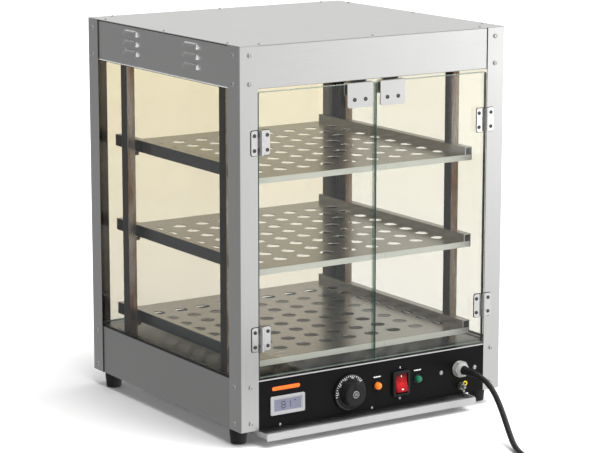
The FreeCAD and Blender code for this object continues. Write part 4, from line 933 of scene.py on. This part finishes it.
class CASE_OT_cover_and_base(bpy.types.Operator):
    """Top cover, base panels and the crumb tray"""
    bl_idname = "display_case.cover_and_base"
    bl_label = "Cover, base panels and crumb tray"

    def execute(self, context):
        sizes = context.scene.case_sizes
        cover = plate(*low_high("top_cover"), 2, 1.2 * MM, 0.35 * MM)
        piece("top_cover_sheet", cover, "case", "steel_across", "top_cover", "steel")
        outline = [(0, 0), (0, 61), (10, 61), (10, 60), (1, 60), (1, 0)]
        for side, across in SIDES:
            bm = side_sheet(across, outline, (0, 61), sizes.sheet_bend * 0.7, sizes.sheet_edge, FOOT)
            # A dark seal strip on the base panel, which also stands in for the shadow in the seam under the glass.
            seal_and_shade_strip = painted(box(*sided(across, 184, 188.85, -175.5, 174, 80.9, 81.9)), 1)
            piece(f"base_panel_{side}_folded", merge([bm, seal_and_shade_strip]), "case", "steel_base magnet",
                  f"base_panel_{side}", "steel")
        trim = plate(mm(-164.6, PANEL - 0.3, 78.5), mm(164.6, PANEL + 0.55, 79.9), 0, 0.2 * MM)
        piece("sill_trim", trim, "case", "steel_tray", slot="steel")
        rear = plate(*low_high("base_panel_rear"), 1, 0.4 * MM, 0.2 * MM)
        piece("base_panel_rear_sheet", rear, "case", "steel_across", "base_panel_rear", "steel")
        self.tray()
        return {"FINISHED"}

    def tray(self):
        """A folded pan: floor, four low walls and a hemmed front edge."""
        low, high = low_high("crumb_tray")
        bm = box(low, high)
        round_edges(bm, [e for e in bm.edges if along(e, 2)], 1.5 * MM, 4)
        lid = max(bm.faces, key=lambda face: face.normal.z * 10 + face.calc_center_median().z)
        bmesh.ops.inset_region(bm, faces=[lid], thickness=0.8 * MM)
        sunk = bmesh.ops.extrude_face_region(bm, geom=[lid])
        verts = [v for v in sunk["geom"] if isinstance(v, bmesh.types.BMVert)]
        bmesh.ops.delete(bm, geom=[lid], context="FACES_ONLY")
        bmesh.ops.translate(bm, vec=mm(0, 0, -5.2), verts=verts)
        bmesh.ops.recalc_face_normals(bm, faces=bm.faces)
        hem = plate(mm(low.x / MM, -195.4, 8.9), mm(high.x / MM, -194.4, 16.1), 1, 0.5 * MM, 0.3 * MM)
        piece("crumb_tray_pan", merge([bm, hem]), "tray", "steel_tray", "crumb_tray", "steel")


class CASE_OT_glazing(bpy.types.Operator):
    """Fixed glass and both doors"""
    bl_idname = "display_case.glazing"
    bl_label = "Glass"

    def execute(self, context):
        arris = context.scene.case_sizes.glass_arris
        for node, axis, finish, body, corner in (("glass_left", 0, "glass_left", "case", 0.8),
                                                 ("glass_right", 0, "glass_right", "case", 0.8),
                                                 ("glass_rear", 1, "glass_rear", "case", 0.8),
                                                 ("door_glass_left", 1, "glass_door", "left_door", 2.0),
                                                 ("door_glass_right", 1, "glass_door", "right_door", 2.0)):
            bm = plate(*low_high(node), axis, corner * MM, arris, 4)
            for face in bm.faces:
                if abs(face.normal[axis]) > PARALLEL:
                    face.material_index = 0
                # The right door's outer glass edge gets the black magnet finish: a painted shadow in the gap between
                # door and post.
                elif node == "door_glass_right" and face.normal.x > 0.5:
                    face.material_index = 3
                else:
                    face.material_index = 1 if abs(face.normal.z) < 0.5 else 2
            piece(f"{node}_pane", bm, body, f"{finish} glass_edge glass_rim magnet", node, "glass", 20)
        return {"FINISHED"}


class CASE_OT_rails(bpy.types.Operator):
    """Shelf rails and their pegs"""
    bl_idname = "display_case.rails"
    bl_label = "Shelf rails"

    def execute(self, context):
        inner, outer, half_depth = 165, 177, 7.5
        for side, across in SIDES:
            shapes = []
            for middle in RAIL_MIDDLES[side]:
                shapes.append(plate(*sided(across, inner, outer, middle - half_depth, middle + half_depth, 80, 427.4),
                                    2, 1.4 * MM))
                for level in SHELF_LEVELS:
                    peg = lathe([(0, 0), (2.5, 0), (2.5, 7.4), (1.9, 8), (0, 8)], 20)
                    face = "right" if across < 0 else "left"
                    shapes.append(placed(peg, at(across * inner, middle, level - 7.7, face)))
            rails = merge(shapes)
            # The rails' side faces get the nearly black steel: a painted dark reflection.
            for face in rails.faces:
                face.material_index = 1 if abs(face.normal.x) > 0.7 else 0
            piece(f"shelf_rails_{side}_tubes", rails, "case", "steel_rail steel_rail_side", f"shelf_rails_{side}",
                  "steel")
        return {"FINISHED"}


class CASE_OT_hinges(bpy.types.Operator):
    """Butt hinges and their pins"""
    bl_idname = "display_case.hinges"
    bl_label = "Hinges"

    def execute(self, context):
        corner = context.scene.case_sizes.leaf_corner
        on_case, pins = [], []
        for side, across in SIDES:
            on_door = []
            for level in HINGE_LEVELS:
                on_case.append(self.leaf(across, 164.9, 174.5, CASE_LEAF, level, LEAF_HALF, corner))
                for low, high in ((level - LEAF_HALF, level - 5), (level + 5, level + LEAF_HALF)):
                    on_case += self.knuckle(across, 166, CASE_LEAF, low, high, 1.25)
                on_door.append(self.leaf(across, 159, 149, DOOR_LEAF, level, LEAF_HALF, corner))
                # Dark strips round both leaves: painted shadow.
                on_case.append(self.painted_shade_outline(across, 164.4, 175.2, (-181.15, CASE_LEAF[1]), level, corner))
                on_door.append(self.painted_shade_outline(across, 159, 148.4, (-180.8, DOOR_LEAF[1]), level, corner))
                on_door += self.knuckle(across, 158.6, DOOR_LEAF, level - KNUCKLE_HALF, level + KNUCKLE_HALF, 1.3)
                pin = lathe([(0, -0.3), (1.0, -0.3), (1.25, 0), (1.25, 29), (1.0, 29.3), (0, 29.3)], 20)
                pins.append(placed(pin, at(across * HINGE_PIN[0], HINGE_PIN[1], level - LEAF_HALF)))
            piece(f"hinge_{side}_door_leaves", merge(on_door), f"{side}_door", "bright magnet",
                  f"hinge_leaves_{side}_door", "bright_steel")
        piece("hinge_case_leaves", merge(on_case), "case", "bright magnet", "hinge_leaves_case", "bright_steel")
        piece("hinge_pins_turned", merge(pins), "case", "bright", "hinge_pins", "bright_steel")
        return {"FINISHED"}

    def leaf(self, across, inner, outer, depth, level, half, corner):
        """A leaf from the pin outwards, its far corners rounded."""
        bm = box(*sided(across, inner, outer, *depth, level - half, level + half))
        far = [e for e in bm.edges if along(e, 1) and abs(e.verts[0].co.x - across * outer * MM) < 1e-6]
        round_edges(bm, far, corner, 5)
        return bm

    def painted_shade_outline(self, across, inner, outer, depth, level, corner):
        """A dark strip round a leaf, in the black magnet finish: painted shadow at the leaf's edge."""
        return painted(self.leaf(across, inner, outer, depth, level, LEAF_HALF + 0.7, corner * 1.1), 1)

    def knuckle(self, across, root, depth, low, high, bore):
        """A bored barrel round the pin, and the web that joins it to its leaf."""
        barrel = lathe([(bore, low), (2.45, low), (2.7, low + 0.25), (2.7, high - 0.25), (2.45, high), (bore, high),
                        (bore, low)], 28)
        return [placed(barrel, at(across * HINGE_PIN[0], HINGE_PIN[1], 0)),
                box(*sided(across, HINGE_PIN[0], root, *depth, low, high))]


class CASE_OT_clips(bpy.types.Operator):
    """Door clips, magnets and every screw"""
    bl_idname = "display_case.clips"
    bl_label = "Clips, magnets and screws"

    def execute(self, context):
        for side, across in SIDES:
            front = box(*sided(across, 5.5, 41.5, -182.2, -180.7, 392, 421.8))
            round_edges(front, [e for e in front.edges if along(e, 1) and e.verts[0].co.z < 400 * MM], 3 * MM, 5)
            top = [e for e in front.edges if along(e, 0)
                   and e.verts[0].co.z > 421.5 * MM and e.verts[0].co.y < -182 * MM]
            round_edges(front, top, 1.3 * MM, 4)
            rim = [e for e in front.edges if all(v.co.y < -182.1 * MM for v in e.verts)]
            round_edges(front, rim, 0.3 * MM, 2)
            bridge = box(*sided(across, 5.5, 41.5, -181.4, -174.2, 420.6, 421.8), 0.3 * MM)
            back = plate(*sided(across, 5.5, 41.5, -175.7, -174.2, 406, 421.8), 1, 1.5 * MM, 0.2 * MM)
            piece(f"door_clip_{side}_folded", merge([front, bridge, back]), f"{side}_door", "steel_across",
                  f"door_clip_{side}", "steel")
        magnets = [box(*sided(across, 13, 33, -179.6, -170, 422.2, 424), 0.5 * MM) for _, across in SIDES]
        piece("magnet_blocks", merge(magnets), "case", "magnet", "magnet_catches", "magnet")
        self.screws()
        return {"FINISHED"}

    def screws(self):
        posts = []
        for level in SCREW_LEVELS:
            for _, sign in SIDES:
                for face, x, y in (("front", sign * 176, -HALF_DEPTH), ("rear", sign * 176, HALF_DEPTH),
                                   ("left", -HALF_WIDTH, sign * 168), ("right", HALF_WIDTH, sign * 168)):
                    posts.append(at(x, y, level, face, 37 * (len(posts) + 1)))
        spots = [(x, y) for x in (-158, 0, 158) for y in (-174, 174)]
        spots += [(x, y) for y in (-146, 0, 146) for x in (-183, 183)]
        cover = [at(x, y, TOP, "up", 31 * number) for number, (x, y) in enumerate(spots)]
        case = [place for _, sign in SIDES for place in self.leaf_places(sign * 170.2, CASE_LEAF[0])]
        panel = merge([
            scattered(screw_head(3.0, 1.8), [at(x, PANEL, 51.5, "front", x) for x in (100.5, 152)]),
            scattered(screw_head(1.7, 0.9), [at(x, PANEL, 22.9, "front", x) for x in (-135, -3, 136)])])
        rows = [("post_screw_heads", scattered(screw_head(3.0, 1.8), posts), "case", "bright", "post_screws"),
                ("cover_screw_heads", scattered(screw_head(2.4, 1.2), cover), "case", "bright", "cover_screws"),
                ("hinge_screw_heads", scattered(screw_head(2.4, 1.3), case), "case", "dark_screw",
                 "hinge_screws_case")]
        for side, sign in SIDES:
            clip = [at(sign * spot, -182.2, 401.6, "front", spot * 7) for spot in (15.7, 31.3)]
            heads = merge([scattered(screw_head(2.4, 1.3), self.leaf_places(sign * 152.5, DOOR_LEAF[0])),
                           scattered(screw_head(2.6, 1.2), clip)])
            rows.append((f"door_screw_heads_{side}", heads, f"{side}_door", "dark_screw", f"door_screws_{side}"))
        rows.append(("panel_screw_heads", panel, "case", "bright", "panel_screws"))
        for row in rows:
            piece(*row, "bright_steel")

    def leaf_places(self, x, y):
        return [at(x, y, level + rise, "front", 20 * rise + level) for level in HINGE_LEVELS for rise in (-8.7, 8.7)]


class CASE_OT_controls(bpy.types.Operator):
    """Thermometer, thermostat knob, lamps, switch and printed marks"""
    bl_idname = "display_case.controls"
    bl_label = "Controls"

    def execute(self, context):
        self.thermometer()
        self.knob(context.scene.case_sizes.dial_marks)
        self.lamps()
        self.switch(context.scene.case_sizes.rocker_corner)
        self.prints()
        return {"FINISHED"}

    def thermometer(self):
        x, z = THERMOMETER
        bezel = plate(*centred(THERMOMETER, 24, 11.5, -2.2, 0), 1, 2 * MM, 0.6 * MM)
        window = box(*centred(THERMOMETER, 19, 7, -3, 1))
        slope = box(*centred(THERMOMETER, 20.5, 8.3, -3, -1.5), 0.6 * MM)
        case = box(*centred(THERMOMETER, 22, 9.5, 0, 12), 0.6 * MM)
        piece("thermometer_rim", merge([carved(bezel, [window, slope]), case]), "case", "silver_plastic",
              "thermometer_bezel", "grey_plastic")
        screen = plate(*centred(THERMOMETER, 18.9, 6.9, -1.3, 0.2), 1, 0.6 * MM, 0.1 * MM)
        marks = [self.figure(lit, x - 6 + 7.5 * place, z) for place, lit in enumerate(("abcdefg", "bc"))]
        marks.append(box(*centred((x + 10.2, z + 3.8), 0.8, 0.8, -1.42, -1.25), 0.05 * MM))
        piece("thermometer_display", merge([screen, painted(merge(marks), 1)]), "case", "screen print_dark",
              "thermometer_screen", "screen")

    def figure(self, lit, x, z):
        """One seven-bar figure."""
        bars = {"a": (0, 4, 1.8, 0.45), "g": (0, 0, 1.8, 0.45), "d": (0, -4, 1.8, 0.45), "f": (-2.3, 2, 0.45, 1.7),
                "b": (2.3, 2, 0.45, 1.7), "e": (-2.3, -2, 0.45, 1.7), "c": (2.3, -2, 0.45, 1.7)}
        return merge([box(*centred((x + dx, z + dz), half_width, half_height, -1.4, -1.24), 0.04 * MM)
                      for dx, dz, half_width, half_height in (bars[name] for name in lit)])

    def knob(self, count):
        """A dial skirt with marks and figures, and a grip with two flats and a metal cap."""
        skirt = lathe([(3.2, 0), (21.6, 0), (22.3, 0.4), (22.5, 1.2), (22.2, 2.0), (20.6, 2.5), (17.2, 3.3),
                       (15.8, 3.5), (3.2, 3.5), (3.2, 0)], 96)
        grip = lathe([(0, 3.2), (15.5, 3.2), (15.3, 6), (14.9, 12.6), (14.5, 13.9), (13.6, 14.7), (12.4, 15.0),
                      (5.6, 15.0), (5.0, 14.2), (0, 14.2)], 96)
        grip = carved(grip, [box(mm(-20, 12.8, 5.2), mm(20, 20, 20), 0.8 * MM),
                             box(mm(-20, -20, 5.2), mm(20, -12.8, 20), 0.8 * MM)])
        flutes = [placed(box(mm(14.2, -0.45, 5), mm(15.35, 0.45, 12.5), 0.2 * MM), turned(middle + swing))
                  for middle in (0, 180) for swing in range(-36, 37, 6)]
        metal = [lathe([(3.3, 13.6), (4.6, 13.6), (4.6, 14.6), (4.2, 14.95), (3.5, 14.95), (3.3, 14.6),
                        (3.3, 13.6)], 40),
                 lathe([(0.9, 13.9), (1.9, 13.9), (1.9, 14.7), (1.6, 14.9), (1.1, 14.9), (0.9, 14.7),
                        (0.9, 13.9)], 32)]
        arc = [placed(box(mm(20.2, -0.75, 1.2), mm(21.2, 0.75, 2.72)), turned(angle)) for angle in range(200, 266, 3)]
        whites = []
        start, sweep = 190.0, 150.0
        for number in range(count):
            inner = 19.3 if number % 3 else 18.0
            whites.append(placed(box(mm(inner, -0.32, 0), mm(21.3, 0.32, 0.5)),
                                 moved(0, 0, 2.38) @ turned(start - sweep * number / (count - 1))))
        for number, text in enumerate(("30", "50", "70", "90", "110")):
            angle = start - 12 - (sweep - 22) * number / 4
            whites.append(placed(lettering(text, 2.9), turned(angle) @ moved(17.8, 0, 3.2) @ turned(-90)))
        whites.append(placed(box(mm(6.6, -0.45, 14.9), mm(11.8, 0.45, 15.0)), turned(100)))
        whole = merge([skirt, grip, *flutes, painted(merge(metal), 1), painted(merge(whites), 2),
                       painted(merge(arc), 3)])
        placed(whole, at(KNOB[0], PANEL - 0.8, KNOB[1], "front"))
        piece("thermostat_dial_knob", whole, "thermostat_dial", "knob plated print_white print_grey",
              "thermostat_knob", "black_plastic")

    def lamps(self):
        for name, x in LAMPS:
            lens = lathe([(0, 0.8), (4.5, 0.8), (4.5, 3.4), (4.2, 4.6), (3.5, 5.6), (2.4, 6.3), (1.2, 6.6),
                          (0, 6.7)], 40)
            ring = lathe([(4.2, 0), (5.5, 0), (5.5, 0.8), (5.2, 1.2), (4.8, 1.3), (4.5, 1.1), (4.2, 0.8),
                          (4.2, 0)], 40)
            barrel = lathe([(0, -18), (4.9, -18), (4.9, 0.2), (0, 0.2)], 32)
            whole = merge([lens, painted(ring, 1), painted(barrel, 1)])
            piece(f"lamp_{name}_lens", placed(whole, on_panel((x, 49.5))), "case", f"{name}_lens black_plastic",
                  f"lamp_{name}", name)

    def switch(self, corner):
        rim = plate(*centred(SWITCH, 12.6, 15.6, -4.4, 0), 1, 3 * MM, 1.2 * MM)
        rim = carved(rim, [box(*centred(SWITCH, 9, 12.5, -6, 1))])
        lip = plate(*centred(SWITCH, 10.6, 13.9, -4.6, -3.8), 1, 2 * MM, 0.2 * MM)
        lip = carved(lip, [box(*centred(SWITCH, 9.2, 12.7, -6, 1))])
        case = box(*centred(SWITCH, 11, 14, 0, 22), 0.8 * MM)
        case = carved(case, [box(*centred(SWITCH, 9, 12.5, -1, 13.4))])
        piece("switch_bezel", merge([rim, lip, case]), "case", "black_plastic", "switch_housing", "black_plastic")
        outline = [(-5.6, -11.2), (-4.5, -7.4), (-3.85, -3.6), (-3.7, 0), (-3.85, 3.6), (-4.5, 7.4), (-5.6, 11.2),
                   (-1, 11.6), (4.5, 4.5), (6.5, 0), (4.5, -4.5), (-1, -11.6)]
        body = prism(outline, 17.2)
        round_edges(body, [e for e in body.edges if not along(e, 2)], corner * 0.5, 3)
        marks = [box(mm(-5.45, 7.2, 7.6), mm(-4.6, 9.4, 8.5)), box(mm(-5.0, -8.8, 7.2), mm(-4.4, -7.4, 10.0))]
        whole = merge([body, painted(merge(marks), 1)])
        placed(whole, moved(SWITCH[0], PANEL, SWITCH[1]) @ turned(-11, "X") @ moved(-8.6, 0)
               @ lying((0, 1, 0), (1, 0, 0)))
        piece("switch_rocker_lit", whole, "rocker", "rocker print_white", "switch_rocker", "red")

    def prints(self):
        """Plain bars over the lamps, the on and off marks, and one accent bar."""
        ink = 0.12
        bars = [plate(*centred((x + offset, 60.3), width / 2, 0.7, -ink, 0), 1, 0.2 * MM)
                for _, x in LAMPS for offset, width in ((-3.9, 2.4), (-0.6, 3.0), (3.3, 3.4))]
        bars.append(box(*centred((SWITCH[0], 67.3), 0.4, 1.3, -ink, 0)))
        ring = lathe([(0.9, 0), (1.4, 0), (1.4, ink), (0.9, ink), (0.9, 0)], 24)
        bars.append(placed(ring, on_panel((SWITCH[0], 28.6))))
        piece("panel_marks", merge(bars), "case", "print_white", slot="grey_plastic")
        accent = plate(*centred((-126.5, 67), 19.5, 2.4, -ink, 0), 1, 2.3 * MM)
        piece("panel_accent_bar", accent, "case", "print_accent", slot="amber")


class CASE_OT_outlets(bpy.types.Operator):
    """Cable gland, earth terminal and rubber feet"""
    bl_idname = "display_case.outlets"
    bl_label = "Gland, earth terminal and feet"

    def execute(self, context):
        self.gland()
        self.earth()
        self.feet()
        return {"FINISHED"}

    def hexagon(self, radius, low, high, chamfer):
        corners = [(radius * math.cos(angle), radius * math.sin(angle))
                   for angle in (math.radians(60 * n) for n in range(6))]
        bm = prism(corners, high - low)
        round_edges(bm, bm.edges, chamfer, 2)
        return placed(bm, moved(0, 0, low))

    def gland(self):
        flange = lathe([(0, -12), (7.9, -12), (7.9, 0), (10.0, 0), (10.0, 0.7), (9.6, 1.0), (0, 1.0)])
        nut = self.hexagon(10.6, 0.9, 7.4, 0.35 * MM)
        dome = lathe([(5.4, 7), (8.6, 7), (8.4, 8.0), (7.6, 9.2), (6.6, 10.2), (5.9, 10.4), (5.5, 9.9), (5.4, 7)])
        piece("gland_nut", placed(merge([flange, nut, dome]), on_panel(GLAND)), "case", "gland_plastic",
              "cable_gland", "grey_plastic")

    def earth(self):
        stud = lathe([(0, -10), (2.4, -10), (2.4, 9.0), (1.9, 9.8), (0, 9.8)], 24)
        threads = [lathe([(2.1, low), (2.55, low + 0.3), (2.1, low + 0.6)], 24) for low in (5.6, 6.3, 7.0, 7.7, 8.4)]
        washer = lathe([(2.3, 0), (4.7, 0), (4.8, 0.5), (4.7, 0.9), (2.3, 0.9), (2.3, 0)], 32)
        nut = placed(self.hexagon(4.6, 0.9, 5.2, 0.4 * MM), turned(12))
        disc = lathe([(1.7, 0), (3.2, 0), (3.3, 0.9), (3.1, 1.3), (1.8, 1.3), (1.7, 0.9), (1.7, 0)], 32)
        placed(painted(disc, 1), moved(6.6, 2.4))
        piece("earth_stud_nut", placed(merge([stud, washer, nut, *threads, disc]), on_panel(EARTH)), "case",
              "terminal_metal yellow_plastic", "earth_terminal", "brass")

    def feet(self):
        foot = lathe([(0, 0), (8.0, 0), (9.2, 0.5), (9.7, 1.6), (10.2, 9), (10.4, 9.5), (10.4, 10.3), (10.6, 10.8),
                      (10.95, 18.6), (10.7, 19.6), (10.2, 20), (3.8, 20), (3.8, 23), (0, 23)], 40)
        places = [moved(x, y) for x in (-176, 176) for y in (-153, 153)]
        piece("feet_turned", scattered(foot, places), "case", "rubber", "rubber_feet", "rubber")


MAKERS = (CASE_OT_finishes, CASE_OT_camera_and_light, CASE_OT_lead, CASE_OT_posts, CASE_OT_headers,
          CASE_OT_cover_and_base, CASE_OT_glazing, CASE_OT_rails, CASE_OT_hinges, CASE_OT_clips,
          CASE_OT_controls, CASE_OT_outlets)


class CASE_PT_panel(bpy.types.Panel):
    """Lists the makers of the display case"""
    bl_idname = "CASE_PT_panel"
    bl_label = "Display case"
    bl_space_type = "VIEW_3D"
    bl_region_type = "UI"
    bl_category = "Display case"

    def draw(self, context):
        column = self.layout.column()
        for name in CaseSizes.__annotations__:
            column.prop(context.scene.case_sizes, name)
        for name in CaseColours.__annotations__:
            column.prop(context.scene.case_colours, name)
        for maker in MAKERS:
            column.operator(maker.bl_idname)


CLASSES = (CaseSizes, CaseColours, *MAKERS, CASE_PT_panel)


def register():
    for item in CLASSES:
        bpy.utils.register_class(item)
    bpy.types.Scene.case_sizes = PointerProperty(type=CaseSizes)
    bpy.types.Scene.case_colours = PointerProperty(type=CaseColours)


def unregister():
    del bpy.types.Scene.case_sizes
    del bpy.types.Scene.case_colours
    for item in reversed(CLASSES):
        bpy.utils.unregister_class(item)


def main():
    register()
    for maker in MAKERS:
        group, name = maker.bl_idname.split(".")
        getattr(getattr(bpy.ops, group), name)()


if __name__ == "__main__":
    main()
